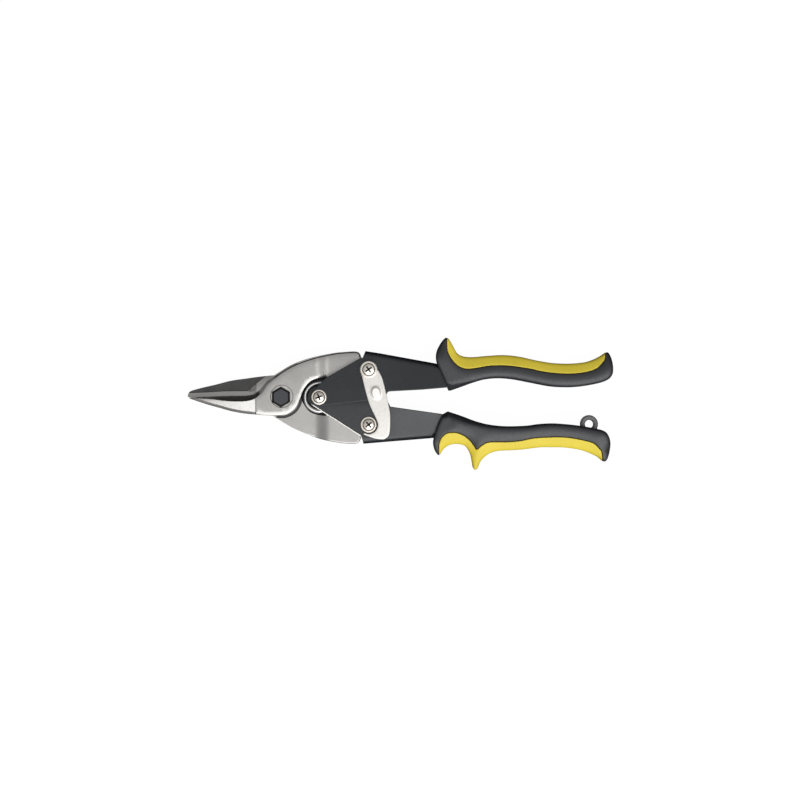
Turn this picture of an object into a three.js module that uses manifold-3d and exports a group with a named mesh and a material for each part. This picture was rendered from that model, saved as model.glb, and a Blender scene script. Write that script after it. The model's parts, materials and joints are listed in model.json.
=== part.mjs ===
// Compound-leverage aviation snips, straight cut, closed and latched.
// Millimetres. The tool lies flat: +X runs from the blade pivot to the grips, the jaws point to -X,
// +Y is the upper handle's side and +Z is the side with the screw heads and the latch.
// The origin is on the blade pivot's axis, on the end face of the pivot bolt.

import * as THREE from 'three';
import { mergeVertices } from 'three/addons/utils/BufferGeometryUtils.js';
import Module from 'manifold-3d';

const wasm = await Module();
wasm.setup();

// ---------- driving dimensions ----------

// Pivot axes (x, y). The blade pivot is at the origin.
const HANDLE_PIVOT = [22.4, 0];
const UPPER_TAIL = [51.6, 16.2];
const LOWER_TAIL = [51.6, -16.2];

// Levels (z)
const MID = 11; // shear plane of the blades, and middle of the handles
const BLADE = 4.9; // blade thickness
const SHEAR_GAP = 0.1; // from the shear plane to each blade
const JOGGLE = [20.5, 28]; // x where the tails step over to the middle
const GRIP = [0, 22];

// Handles
const SHEET = 1.8;
const UPPER_WIDTH = 15;
const LOWER_WIDTH = 11;
const UPPER_NOSE = 5.2;
const LOWER_NOSE = 6.6;
const CHEEK = 11.7; // radius of the upper handle's back wall round the handle pivot, behind the spring

// Screws, nuts and what is on them
const M5 = 2.5;
const M5_HOLE = 2.62;
const TAIL_HOLE_FIXED = 2.6;
const TAIL_HOLE_OPEN = 2.95; // play at the upper tail, where the linkage's loop is open
const M5_NUT = 8; // across flats
const SPACER = 5.5; // outer radius of the bush, spacers and washers between the walls
const WASHER_HEAD = 5;
const SCREW_HEAD = 3.8;
const CROSS = [1.1, 5.2]; // slot width and length of the cross recess
const PIVOT_BOLT = 3.5;
const PIVOT_HOLE = 3.6;
const PIVOT_HEX = 10; // across flats
const PIVOT_RECESS = [6.7, 14.8]; // radius and floor of the round recess for the head

// Latch
const THUMB_BOSS = [2.7, 4.1, 0.9]; // half sizes

// Spring
const WIRE = 2.4;
const COIL = 8.35; // radius of the wire's centre line
const TURNS = 1.5;
const COIL_PITCH = 2.6;

const FIT = 0.3; // gap where one piece is shaped by another
const FAR = 60; // larger than any cut needs

// ---------- outlines: points, splines and arcs ----------

const v2 = ([x, y]) => new THREE.Vector2(x, y);
const rad = THREE.MathUtils.degToRad;

/**
 * A closed shape. Each step is a point, { spline: [points] } or
 * { arc: [centre x, centre y, radius, from, to, clockwise] } with its angles in degrees.
 */
function outline(start, ...steps) {
  const shape = new THREE.Shape();
  shape.moveTo(...start);
  for (const step of steps) {
    if (step.spline) {
      shape.splineThru(step.spline.map(v2));
    } else if (step.arc) {
      const [cx, cy, r, from, to, clockwise] = step.arc;
      shape.absarc(cx, cy, r, rad(from), rad(to), clockwise);
    } else {
      shape.lineTo(...step);
    }
  }
  return shape;
}

/** The outline moved outwards by a distance, as a new shape. */
function grown(shape, distance, divisions = 3) {
  const points = shape.getPoints(divisions);
  if (points[0].distanceTo(points[points.length - 1]) < 1e-6) points.pop();
  const turn = Math.sign(THREE.ShapeUtils.area(points));
  const count = points.length;
  const moved = points.map((point, i) => {
    const before = points[(i + count - 1) % count];
    const after = points[(i + 1) % count];
    const a = point.clone().sub(before).normalize();
    const b = after.clone().sub(point).normalize();
    const normal = new THREE.Vector2(a.y + b.y, -a.x - b.x).multiplyScalar(turn);
    const length = Math.max(normal.lengthSq() / 2, 0.5);
    return point.clone().add(normal.multiplyScalar(distance / length));
  });
  return new THREE.Shape(moved);
}

// ---------- solids ----------

/** A manifold solid from a closed geometry. */
function solid(geometry) {
  const bare = geometry.clone();
  bare.deleteAttribute('normal');
  bare.deleteAttribute('uv');
  const merged = mergeVertices(bare, 1e-5);
  const mesh = { numProp: 3, vertProperties: new Float32Array(merged.attributes.position.array) };
  mesh.triVerts = new Uint32Array(merged.index.array);
  return new wasm.Manifold(new wasm.Mesh(mesh));
}

/** The three.js geometry of a manifold solid. */
function geometryOf(body) {
  const mesh = body.getMesh();
  const geometry = new THREE.BufferGeometry();
  geometry.setAttribute('position', new THREE.BufferAttribute(new Float32Array(mesh.vertProperties), 3));
  geometry.setIndex(new THREE.BufferAttribute(new Uint32Array(mesh.triVerts), 1));
  geometry.computeVertexNormals();
  return geometry;
}

/** A shape extruded from z0 to z1, with its edges chamfered inwards. */
function plate(shape, z0, z1, chamfer = 0, divisions = 4) {
  const geometry = new THREE.ExtrudeGeometry(shape, {
    depth: z1 - z0 - 2 * chamfer,
    curveSegments: divisions,
    bevelEnabled: chamfer > 0,
    bevelThickness: chamfer,
    bevelSize: chamfer,
    bevelOffset: -chamfer,
    bevelSegments: 1,
  });
  return geometry.translate(0, 0, z0 + chamfer);
}

function block([x0, y0, z0], [x1, y1, z1]) {
  const box = new THREE.BoxGeometry(x1 - x0, y1 - y0, z1 - z0);
  return box.translate((x0 + x1) / 2, (y0 + y1) / 2, (z0 + z1) / 2);
}

function rod([x, y], radius, z0, z1, sides = 32) {
  const cylinder = new THREE.CylinderGeometry(radius, radius, z1 - z0, sides).rotateX(Math.PI / 2);
  return cylinder.translate(x, y, (z0 + z1) / 2);
}

/** A flat ring, such as a washer or a spacer. */
function ring([x, y], inner, outer, z0, z1) {
  const shape = new THREE.Shape().absarc(x, y, outer, 0, 2 * Math.PI);
  shape.holes.push(new THREE.Path().absarc(x, y, inner, 0, 2 * Math.PI, true));
  return plate(shape, z0, z1, 0, 12);
}

function hexagon([x, y], acrossFlats) {
  const corner = acrossFlats / Math.sqrt(3);
  const points = [];
  for (let i = 0; i < 6; i += 1) {
    const angle = rad(60 * i + 30);
    points.push(new THREE.Vector2(x + corner * Math.cos(angle), y + corner * Math.sin(angle)));
  }
  return new THREE.Shape(points);
}

function nut(centre, acrossFlats, hole, z0, z1) {
  const shape = hexagon(centre, acrossFlats);
  shape.holes.push(new THREE.Path().absarc(...centre, hole, 0, 2 * Math.PI, true));
  return plate(shape, z0, z1, 0, 12);
}

/** Everything above a plane through a point, as a large block. */
function above(point, normal) {
  const up = new THREE.Vector3(...normal).normalize();
  const turn = new THREE.Quaternion().setFromUnitVectors(new THREE.Vector3(0, 0, 1), up);
  const slab = new THREE.BoxGeometry(4 * FAR, 4 * FAR, FAR).translate(0, 0, FAR / 2);
  return solid(slab.applyQuaternion(turn).translate(...point));
}

// ---------- blades ----------
// Both blades are drawn in the near blade's position: the jaw below, the tail up to the upper handle.
// The far blade is its own outline turned half a turn about the X axis at the shear plane.

const TAIL_BOSS = { arc: [...UPPER_TAIL, 7, 115, -90, true] };

const NEAR_BLADE = {
  tip: [-54.6, -0.3],
  edge: [[-47.7, -0.2], [-38.7, 0.4], [-29.7, 0.6], [-20.6, 0.8], [-16.1, 1.7], [-14, 3], [-12, 4.5],
    [-9, 8.5], [-6, 11.2], [-3.6, 13.1], [-0.3, 15.2], [5.7, 18.8], [13, 21.8], [21.7, 24.2],
    [31.1, 26], [38.2, 26.7]],
  tailEnd: [[43.6, 26.9], [46.1, 26], [47.1, 23.6]],
  front: [[22.6, 11.1], [19.3, 10.2], [16.3, 8.3], [13, 3.8], [11.4, -0.5], [8.7, -6.1], [4.2, -9.8],
    [-0.3, -10.7], [-6.3, -10.8], [-14.6, -10.3], [-22.1, -9.6], [-29.7, -8.2], [-35.7, -6.5],
    [-41.7, -4.9], [-47.7, -3], [-52.9, -1.2]],
};
const FAR_BLADE = {
  tip: [-55.2, -1],
  edge: [[-54.4, 0.1], [-47.7, 0.3], [-38.7, 0.8], [-29.7, 1.1], [-20.6, 1.4], [-16.1, 2.2], [-14, 3.2],
    [-12, 4.5], [-9, 7.7], [-6, 10.2], [-3.6, 11.9], [-0.3, 14], [5.7, 17.6], [12.2, 20.6],
    [21.7, 24.3], [31.1, 26.4], [38.2, 27.3]],
  tailEnd: [[43.6, 27.4], [45.9, 26.3], [47, 23.8]],
  front: [[22.6, 10.7], [19.1, 9.8], [16, 8], [13, 3.8], [11.2, -0.5], [8.7, -5.6], [5.2, -9.9],
    [1, -12.3], [-3.6, -12.9], [-12.6, -12.1], [-20.6, -11], [-29.7, -9.7], [-38.7, -7.4],
    [-47.7, -5.3], [-53.7, -3.4]],
};

function bladeShape({ tip, edge, tailEnd, front }) {
  return outline(tip, { spline: [...edge, tailEnd[0]] }, { spline: tailEnd.slice(1) }, TAIL_BOSS,
    [26.2, 11.1], { spline: front }, tip);
}

/** The blade's plate, stepped from the shear level down to the middle along its tail. */
function joggledPlate(shape) {
  const low = MID + SHEAR_GAP;
  const drop = low - (MID - BLADE / 2);
  const [x0, x1] = JOGGLE;
  const slice = (from, to) => solid(block([from, -FAR, -FAR], [to, FAR, FAR]));
  const slope = -drop / (x1 - x0);
  const shear = new THREE.Matrix4().set(1, 0, 0, 0, 0, 1, 0, 0, slope, 0, 1, -slope * x0, 0, 0, 0, 1);
  const flat = plate(shape, low, low + BLADE, 0, 2);
  const front = solid(flat).intersect(slice(-FAR, x0));
  const ramp = solid(flat.clone().applyMatrix4(shear)).intersect(slice(x0, x1));
  const tail = solid(flat.clone().translate(0, 0, -drop)).intersect(slice(x1, FAR));
  return front.add(ramp).add(tail);
}

/** The ground faces of the jaw: cutting bevel, outer face and inner relief, drawn as planes. */
function groundJaw(blade) {
  const face = MID + SHEAR_GAP;
  const jawEnd = -14.6;
  const jaw = solid(block([-FAR, -FAR, face - 1], [jawEnd, 3, FAR]));
  const bevel = above([-40, 0.2, face], [0, 1.2, 1]).intersect(jaw);
  const outer = above([jawEnd, -2.5, face + BLADE], [-0.075, -0.12, 1]).intersect(jaw);
  const reliefZone = outline([-60, -2.4], [-41.7, -2.9], [-32.7, -3.4], [-18, -3.8], [-7.5, -12.4],
    [-7.5, -20], [-60, -20]);
  const relief = solid(plate(reliefZone, face - 1, face + BLADE, 0));
  const below = solid(block([-2 * FAR, -FAR, face - FAR], [FAR, FAR, face + BLADE]))
    .subtract(above([-30, -3.2, face], [0, 0.18, 1]));
  return blade.subtract(bevel).subtract(outer).subtract(relief.intersect(below));
}

function bladeSolid(spec, tailHole) {
  const holes = solid(rod([0, 0], PIVOT_HOLE, 0, 20)).add(solid(rod(UPPER_TAIL, tailHole, 0, 20)));
  return groundJaw(joggledPlate(bladeShape(spec))).subtract(holes);
}

function nearBlade() {
  const [radius, floor] = PIVOT_RECESS;
  const recess = solid(rod([0, 0], radius, floor, 20, 40));
  return geometryOf(bladeSolid(NEAR_BLADE, TAIL_HOLE_OPEN).subtract(recess));
}

function farBlade() {
  const turned = geometryOf(bladeSolid(FAR_BLADE, TAIL_HOLE_FIXED));
  return turned.translate(0, 0, -MID).rotateX(Math.PI).translate(0, 0, MID);
}

// ---------- handles ----------

// The upper handle's side wall, from its nose round the handle pivot to the tang's end.
const UPPER_BACK = [[49.7, 27.1], [58.2, 25.8], [91.3, 19.8]];
const UPPER_TANG_BACK = [[100, 18], [108, 18.2], [116, 20], [125, 21], [133, 20.8], [146, 18.2], [156, 16.6],
  [166, 16.2], [175, 16.6]];
const UPPER_TANG_FRONT = [[175, 9.4], [166, 8.4], [156, 8.8], [146, 10.8], [133, 13], [125, 13.2],
  [116, 11.8], [108, 9.2], [97.2, 5.6]];
const UPPER_FRONT = [[83.1, 4.4], [64.2, 3.4]];
const UPPER_KNEE = [[62.8, 2.9], [61.3, 0.6], [58.5, -1.2]];

const LOWER_BACK = [[48.5, -27.5], [58.2, -26.7], [89.7, -24.1]];
const LOWER_TANG_BACK = [[98, -22.6], [107, -23.6], [118, -27], [130, -28.2], [140, -27.6], [150, -26.4],
  [165, -26.2], [173, -26.8]];
const LOWER_TANG_FRONT = [[173, -18.6], [165, -17.9], [150, -18.3], [140, -19.4], [130, -19.6], [118, -18],
  [107, -14.2], [94.7, -9.9]];
const LOWER_FRONT = [[64.4, -5.6]];
const LOWER_KNEE = [[63.2, -3.4], [61.5, -1], [58.5, 0.6]];

function upperWall() {
  return outline([22.98, -UPPER_NOSE], { arc: [...HANDLE_PIVOT, UPPER_NOSE, -84, 135, true] },
    [26.2, 11.1], [46.7, 22.9], [47.9, 22.8], ...UPPER_BACK, { spline: UPPER_TANG_BACK },
    UPPER_TANG_FRONT[0], { spline: UPPER_TANG_FRONT.slice(1) }, ...UPPER_FRONT, { spline: UPPER_KNEE });
}

function lowerWall() {
  return outline([22.98, LOWER_NOSE], { arc: [...HANDLE_PIVOT, LOWER_NOSE, 84, 222, false] },
    [46.7, -23.1], [47.3, -23], ...LOWER_BACK, { spline: LOWER_TANG_BACK },
    LOWER_TANG_FRONT[0], { spline: LOWER_TANG_FRONT.slice(1) }, ...LOWER_FRONT, { spline: LOWER_KNEE });
}

/** The round cheek of the upper handle's back wall, from its front edge round to its inner edge. */
function upperCheek() {
  return outline([34, 5], { arc: [...HANDLE_PIVOT, CHEEK, 64, 302, false] }, [40, -3]);
}

/** A pressed channel: two side walls and the web along the back, open towards the other handle. */
function channel({ wall, back, tang, width, side, holes, cheek }) {
  const half = width / 2;
  const web = [...back, ...tang.slice(0, -1)].map(([x, y]) => [x, y - side * SHEET]);
  const end = tang[tang.length - 1];
  const hollow = new THREE.Shape([
    [0, side * FAR], [web[0][0] - 0.4, side * FAR], ...web, [end[0] - SHEET, end[1] - side * SHEET],
    [end[0] - SHEET, -side * FAR], [0, -side * FAR],
  ].map(v2));
  let walls = solid(plate(wall, MID - half, MID + half, 0.5));
  if (cheek) walls = walls.add(solid(plate(cheek, MID - half, MID - half + SHEET, 0, 12)));
  const inside = solid(plate(hollow, MID - half + SHEET, MID + half - SHEET));
  let body = walls.subtract(inside);
  for (const centre of holes) body = body.subtract(solid(rod(centre, M5_HOLE, 0, 22)));
  return geometryOf(body);
}

// ---------- screws ----------

/** A washer-head screw with a cross recess; its head starts at seat and its shank ends at end. */
function screw(centre, seat, washer, head, end) {
  const dome = 0.35 * head;
  const profile = [[0, end], [M5 - 0.3, end], [M5, end + 0.3], [M5, seat], [WASHER_HEAD - 0.2, seat],
    [WASHER_HEAD, seat + 0.2], [WASHER_HEAD - 0.3, seat + washer], [SCREW_HEAD, seat + washer],
    [SCREW_HEAD - 0.2, seat + washer + head - dome], [SCREW_HEAD - 1.2, seat + washer + head - 0.1],
    [0, seat + washer + head]];
  const turned = new THREE.LatheGeometry(profile.map(v2), 24).rotateX(Math.PI / 2);
  const [width, length] = CROSS;
  const floor = seat + washer + head - 1;
  const slot = solid(block([-length / 2, -width / 2, floor], [length / 2, width / 2, FAR]));
  const cross = slot.add(solid(block([-width / 2, -length / 2, floor], [width / 2, length / 2, FAR])));
  return geometryOf(solid(turned).subtract(cross)).translate(...centre, 0);
}

function pivotBolt() {
  const floor = PIVOT_RECESS[1] + 0.1;
  const head = solid(plate(hexagon([0, 0], PIVOT_HEX), floor, floor + 1.5, 0.3));
  return geometryOf(head.add(solid(rod([0, 0], PIVOT_BOLT, 0, floor + 0.5))));
}

// ---------- latch ----------

function latchShape() {
  const [x, y] = UPPER_TAIL;
  return outline([47.7, 12.1], [46.5, 14.9], { arc: [x, y, 5.15, 190, 0, true] },
    { spline: [[57.6, 15], [59.4, 11.6], [60.8, 6.7], [62, 1.4], [63.1, -3.5], [64.1, -9.1], [64.3, -13.7],
      [64.1, -19.3], [63.3, -22.6], [61.4, -24.4], [59.2, -24.8], [55.6, -24.4], [51.8, -23.2],
      [48.7, -22]] },
    { arc: [...LOWER_TAIL, 5.4, -122, 15, false] },
    { spline: [[55.6, -11.8], [53.7, -8], [51.8, -3.5], [49.9, 2.9], [48.6, 8.1]] });
}

/** The latch plate, with its raised oval thumb boss. */
function latchPlate(z0, z1) {
  const dome = new THREE.SphereGeometry(1, 20, 10).scale(...THUMB_BOSS).rotateZ(rad(8));
  const boss = solid(dome.translate(55.9, 2.5, z1 - 0.1));
  const under = solid(block([-FAR, -FAR, z0 - 5], [2 * FAR, FAR, (z0 + z1) / 2]));
  const hole = solid(rod(UPPER_TAIL, M5_HOLE, 0, 30));
  return geometryOf(solid(plate(latchShape(), z0, z1, 0.25)).add(boss.subtract(under)).subtract(hole));
}

// ---------- spring ----------

/** The wire's centre line: in along one leg, round the coil, out along the other. */
function springPath() {
  const [cx, cy] = HANDLE_PIVOT;
  const rise = (TURNS * COIL_PITCH) / 2;
  const points = [[47.4, 7.7, MID + rise - 0.9], [40, 8.1, MID + rise - 0.6], [30, COIL, MID + rise - 0.1]];
  const steps = 20 * TURNS;
  for (let i = 0; i <= steps; i += 1) {
    const angle = rad(90) + (2 * Math.PI * TURNS * i) / steps;
    const z = MID + rise - (2 * rise * i) / steps;
    points.push([cx + COIL * Math.cos(angle), cy + COIL * Math.sin(angle), z]);
  }
  points.push([30, -COIL, MID - rise + 0.1], [40, -8.1, MID - rise + 0.6], [47.4, -7.7, MID - rise + 0.9]);
  return new THREE.CatmullRomCurve3(points.map((p) => new THREE.Vector3(...p)), false, 'centripetal');
}

function springWire() {
  const section = new THREE.Shape();
  section.absarc(0, 0, WIRE / 2, 0, 2 * Math.PI);
  return new THREE.ExtrudeGeometry(section, { steps: 84, curveSegments: 4, extrudePath: springPath() });
}

// ---------- grips ----------

const UPPER_GRIP = {
  outer: outline([98.5, 3.8], [99.8, 3.8],
    { spline: [[105.8, 5.9], [113, 8.5], [120, 10.4], [128, 11.1], [136.6, 10.4], [146.7, 8.5], [157.8, 6.4],
      [166, 5.8], [175, 6.1], [186, 8], [192, 10.2], [194.7, 13.2], [195.2, 17.5], [194.4, 22.5],
      [192.9, 25.8], [191.3, 26.3], [188.6, 24.5], [184.1, 22.2], [178.5, 20.5], [170, 19.7], [160, 20],
      [150, 21.6], [140, 23.8], [131, 24.7], [122, 24.3], [112, 23.5], [106.6, 24.1], [103.5, 26],
      [101.2, 30], [98.9, 33.9], [97.3, 34.9], [95.9, 34.2], [93.6, 31.2], [91.5, 26.5], [91.4, 21.5],
      [93.4, 16.2], [95.9, 10.5], [98.5, 3.8]] }),
  pad: [[97.9, 42], [97.5, 30], [98.6, 25.3], [100.9, 21.5], [103.9, 18.5], [107.3, 16.9], [111, 16.6],
    [116, 17.3], [122, 18.3], [129.1, 18.6], [136.6, 18.1], [146.7, 16.6], [152.1, 15.3], [160, 14.2],
    [169, 13.7], [176.6, 14.3], [182.2, 15.5], [186, 17.3], [189, 20.4], [190.5, 23.4], [191.4, 34]],
};
const LOWER_GRIP = {
  outer: outline([95.5, -9.9], [98.3, -8.4],
    { spline: [[106.6, -11.2], [114, -14], [121.6, -16], [129.1, -17], [136.6, -17.2], [145.4, -16.8],
      [152.1, -15.9], [159.7, -15.5], [167.1, -15.9], [175.5, -16.8], [184, -18.3], [189.7, -19.8],
      [192.4, -22.5], [193.7, -27], [193.3, -32], [191.8, -36.6], [190.2, -37.9], [188.6, -37.1],
      [186, -35], [180.4, -32.5], [174.7, -30.8], [167.1, -29.7], [159.7, -29.5], [152.1, -29.6],
      [142.3, -30.8], [134.8, -31.3], [128.4, -31.6], [123.5, -32.8], [119.7, -35.2], [117.1, -38.4],
      [115.7, -41.6], [114.4, -42.8], [113, -41.6], [112.3, -38], [111.5, -34.1], [109.9, -30.7],
      [107.7, -28.5], [103.9, -27.6], [100.1, -27.9], [97.1, -29.3], [94.9, -31.5], [93.7, -33.6],
      [92.6, -34.1], [91.1, -32.6], [89.9, -29.6], [89.6, -25.8], [91.1, -19.8], [93, -14.9],
      [95.5, -9.9]] }),
  pad: [[93.2, -46], [92.8, -30], [93.2, -26.6], [94.5, -23.6], [97.1, -21.4], [100.1, -20.8], [103.9, -21.1],
    [107.7, -22.8], [111, -25.5], [113.3, -28.5], [115, -30.7], [117.8, -28.5], [121.6, -26.6],
    [127.3, -26.3], [132.9, -26.3], [140.4, -25.7], [148.4, -24.1], [155.9, -23.6], [163.4, -23.4],
    [170.9, -24], [178.5, -25.5], [183.4, -27], [186.7, -30], [188.6, -33.4], [189, -46]],
};
const PAD_SKIN = 2.2; // thickness of the pad where it lies over the core
const GRIP_CHAMFER = 0.8;

/** A grip's outline from z0 to z1, drawn in by a distance on all its sides. */
function shrunkGrip(outer, distance, z0, z1) {
  const body = plate(outer, z0, z1, 0, 2);
  const shifts = [[distance, 0], [-distance, 0], [0, distance], [0, -distance]];
  return shifts.reduce((rest, [x, y]) => rest.intersect(solid(body.clone().translate(x, y, 0))), solid(body));
}

/** The part of a grip that the pad fills: the padded zone, less the block of core under its skin. */
function padFill({ outer, pad }, skin, gap) {
  const border = new THREE.Shape(pad.map(v2));
  const zone = solid(plate(grown(border, -gap), GRIP[0] - 1, GRIP[1] + 1));
  return zone.subtract(shrunkGrip(outer, skin, GRIP[0] + skin, GRIP[1] - skin));
}

function gripPad(grip) {
  const whole = solid(plate(grip.outer, ...GRIP, GRIP_CHAMFER, 2));
  return geometryOf(whole.intersect(padFill(grip, PAD_SKIN - FIT, FIT)));
}

function gripCore(grip, wall, width, cut) {
  const whole = solid(plate(grip.outer, ...GRIP, GRIP_CHAMFER, 2));
  const half = width / 2 + FIT;
  const pocket = solid(plate(grown(wall, FIT, 4), MID - half, MID + half));
  const body = whole.subtract(padFill(grip, PAD_SKIN, 0)).subtract(pocket);
  return geometryOf(cut ? body.subtract(solid(cut)) : body);
}

// ---------- hanging loop ----------

const LOOP = [181.4, -15.9];
const LOOP_OUTER = 5.3;
const LOOP_EYE = 2.45;
const LOOP_HALF = 2.4;
const LOOP_FOOT = [[177.6, -23.4], [185.2, -18.2]];

function hangingLoop() {
  const disc = solid(rod(LOOP, LOOP_OUTER, MID - LOOP_HALF, MID + LOOP_HALF, 40));
  const [[x0, y0], [x1, y1]] = LOOP_FOOT;
  const foot = solid(block([x0, y0, MID - LOOP_HALF], [x1, y1, MID + LOOP_HALF]));
  return geometryOf(disc.add(foot).subtract(solid(rod(LOOP, LOOP_EYE, 0, 22, 32))));
}

function loopPocket() {
  const half = LOOP_HALF + FIT;
  const disc = solid(rod(LOOP, LOOP_OUTER + FIT, MID - half, MID + half, 40));
  const [[x0, y0], [x1, y1]] = LOOP_FOOT;
  const foot = block([x0 - FIT, y0 - FIT, MID - half], [x1 + FIT, y1 + FIT, MID + half]);
  return geometryOf(disc.add(solid(foot)));
}

// ---------- materials ----------

function finish(color, metalness, roughness) {
  return new THREE.MeshStandardMaterial({ color, metalness, roughness });
}

const groundSteel = finish(0xbfbcb7, 1, 0.35);
const darkCoat = finish(0x3a3d42, 0.1, 0.4);
const plating = finish(0xd8d6d0, 1, 0.25);
const blackOxide = finish(0x4b5055, 0.7, 0.45);
const springSteel = finish(0xa8a8a8, 1, 0.35);
const charcoal = finish(0x424145, 0, 0.55);
const yellow = finish(0xe2cb45, 0, 0.55);

// ---------- assembly ----------

const snips = new THREE.Group();

function add(name, geometry, material) {
  const mesh = new THREE.Mesh(geometry, material);
  mesh.name = name;
  snips.add(mesh);
}

const upperWallShape = upperWall();
const lowerWallShape = lowerWall();
const upperTop = MID + UPPER_WIDTH / 2;
const upperBottom = MID - UPPER_WIDTH / 2;
const lowerTop = MID + LOWER_WIDTH / 2;
const lowerBottom = MID - LOWER_WIDTH / 2;
const latchBottom = upperTop + 0.55;
const latchTop = latchBottom + 1.4;
const tailTop = MID + BLADE / 2;
const tailBottom = MID - BLADE / 2;
const bladeBottom = MID - SHEAR_GAP - BLADE;
const GAP = 0.1;

const spacer = (centre, z0, z1) => ring(centre, M5_HOLE, SPACER, z0 + GAP, z1 - GAP);

add('near_blade', nearBlade(), groundSteel);
add('far_blade', farBlade(), groundSteel);
add('blade_pivot_bolt', pivotBolt(), blackOxide);
add('blade_pivot_washer', ring([0, 0], PIVOT_HOLE, 6.5, bladeBottom - 1.1, bladeBottom - GAP), plating);
add('blade_pivot_nut', nut([0, 0], PIVOT_HEX, PIVOT_HOLE, 0.9, bladeBottom - 1.2), blackOxide);

const upperChannel = channel({
  wall: upperWallShape,
  back: UPPER_BACK,
  tang: UPPER_TANG_BACK,
  width: UPPER_WIDTH,
  side: 1,
  holes: [HANDLE_PIVOT, UPPER_TAIL],
  cheek: upperCheek(),
});
const lowerChannel = channel({
  wall: lowerWallShape,
  back: LOWER_BACK,
  tang: LOWER_TANG_BACK,
  width: LOWER_WIDTH,
  side: -1,
  holes: [HANDLE_PIVOT, LOWER_TAIL],
});
add('upper_handle_channel', upperChannel, darkCoat);
add('lower_handle_channel', lowerChannel, darkCoat);

add('handle_pivot_screw', screw(HANDLE_PIVOT, upperTop + GAP, 0.7, 1.4, 0.6), plating);
add('handle_pivot_bush', spacer(HANDLE_PIVOT, lowerBottom + SHEET, lowerTop - SHEET), plating);
add('handle_pivot_nut', nut(HANDLE_PIVOT, M5_NUT, M5_HOLE, 0.9, upperBottom - GAP), plating);
add('opening_spring', springWire(), springSteel);

add('upper_tail_screw', screw(UPPER_TAIL, latchTop + 0.05, 0.7, 1.1, 0.6), plating);
add('upper_tail_spacer_front', spacer(UPPER_TAIL, tailTop, upperTop - SHEET), plating);
add('upper_tail_spacer_back', spacer(UPPER_TAIL, upperBottom + SHEET, tailBottom), plating);
add('upper_tail_nut', nut(UPPER_TAIL, M5_NUT, M5_HOLE, 0.9, upperBottom - GAP), plating);
add('latch_washer', ring(UPPER_TAIL, M5_HOLE, 4.8, upperTop + 0.05, latchBottom - 0.05), plating);
add('latch_plate', latchPlate(latchBottom, latchTop), plating);

add('lower_tail_screw', screw(LOWER_TAIL, lowerTop + GAP, 0.7, 1.2, 1.6), plating);
add('lower_tail_washer_front', spacer(LOWER_TAIL, tailTop, lowerTop - SHEET), plating);
add('lower_tail_washer_back', spacer(LOWER_TAIL, lowerBottom + SHEET, tailBottom), plating);
add('lower_tail_nut', nut(LOWER_TAIL, M5_NUT, M5_HOLE, 2.2, lowerBottom - GAP), plating);

add('upper_grip_core', gripCore(UPPER_GRIP, upperWallShape, UPPER_WIDTH), charcoal);
add('upper_grip_pad', gripPad(UPPER_GRIP), yellow);
add('lower_grip_core', gripCore(LOWER_GRIP, lowerWallShape, LOWER_WIDTH, loopPocket()), charcoal);
add('lower_grip_pad', gripPad(LOWER_GRIP), yellow);
add('hanging_loop', hangingLoop(), charcoal);

export default snips;
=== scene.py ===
# Aviation snips, closed and latched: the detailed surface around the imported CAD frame.
# Outlines and levels are in millimetres in the CAD frame: +X to the grips, +Y to the upper handle,
# +Z to the screw heads, origin on the blade pivot. MM turns them into Blender's metres.
import json
import math

import bpy
import numpy as np
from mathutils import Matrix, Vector
from mathutils.geometry import delaunay_2d_cdt
from mathutils.kdtree import KDTree


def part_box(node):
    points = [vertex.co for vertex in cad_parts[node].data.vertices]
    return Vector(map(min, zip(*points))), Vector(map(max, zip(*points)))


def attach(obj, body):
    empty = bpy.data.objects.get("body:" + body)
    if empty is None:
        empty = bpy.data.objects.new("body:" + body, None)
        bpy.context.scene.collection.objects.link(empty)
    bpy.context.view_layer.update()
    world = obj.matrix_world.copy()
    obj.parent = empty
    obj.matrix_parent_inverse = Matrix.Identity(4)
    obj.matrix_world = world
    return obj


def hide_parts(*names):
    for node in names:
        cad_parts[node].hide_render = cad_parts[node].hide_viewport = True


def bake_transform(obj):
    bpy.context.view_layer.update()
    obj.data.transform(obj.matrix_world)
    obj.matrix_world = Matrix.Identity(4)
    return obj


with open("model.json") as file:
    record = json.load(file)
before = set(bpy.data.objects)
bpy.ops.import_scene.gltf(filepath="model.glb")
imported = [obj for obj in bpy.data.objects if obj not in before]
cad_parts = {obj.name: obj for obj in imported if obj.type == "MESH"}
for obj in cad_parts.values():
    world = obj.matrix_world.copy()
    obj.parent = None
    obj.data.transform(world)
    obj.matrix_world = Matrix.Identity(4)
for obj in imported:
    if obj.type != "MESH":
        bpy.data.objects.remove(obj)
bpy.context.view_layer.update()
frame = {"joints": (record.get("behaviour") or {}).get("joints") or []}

MM = 0.001

# --- places from the frame ---


def levels(node):
    """The lowest and highest level of a CAD node."""
    low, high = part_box(node)
    return low.z / MM, high.z / MM


def pivot(joint):
    """Where a joint's axis crosses the plane that the tool lies in."""
    where = next(j for j in frame["joints"] if j["name"] == joint)["pos_m"]
    return np.array(where[:2]) / MM


BLADE_PIVOT = pivot("jaw_open")
HANDLE_PIVOT = pivot("handle_open")
LOWER_TAIL = pivot("far_blade_turn")
UPPER_TAIL = pivot("latch_swing")
MID = frame["joints"][0]["pos_m"][2] / MM

# --- outlines ---


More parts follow.
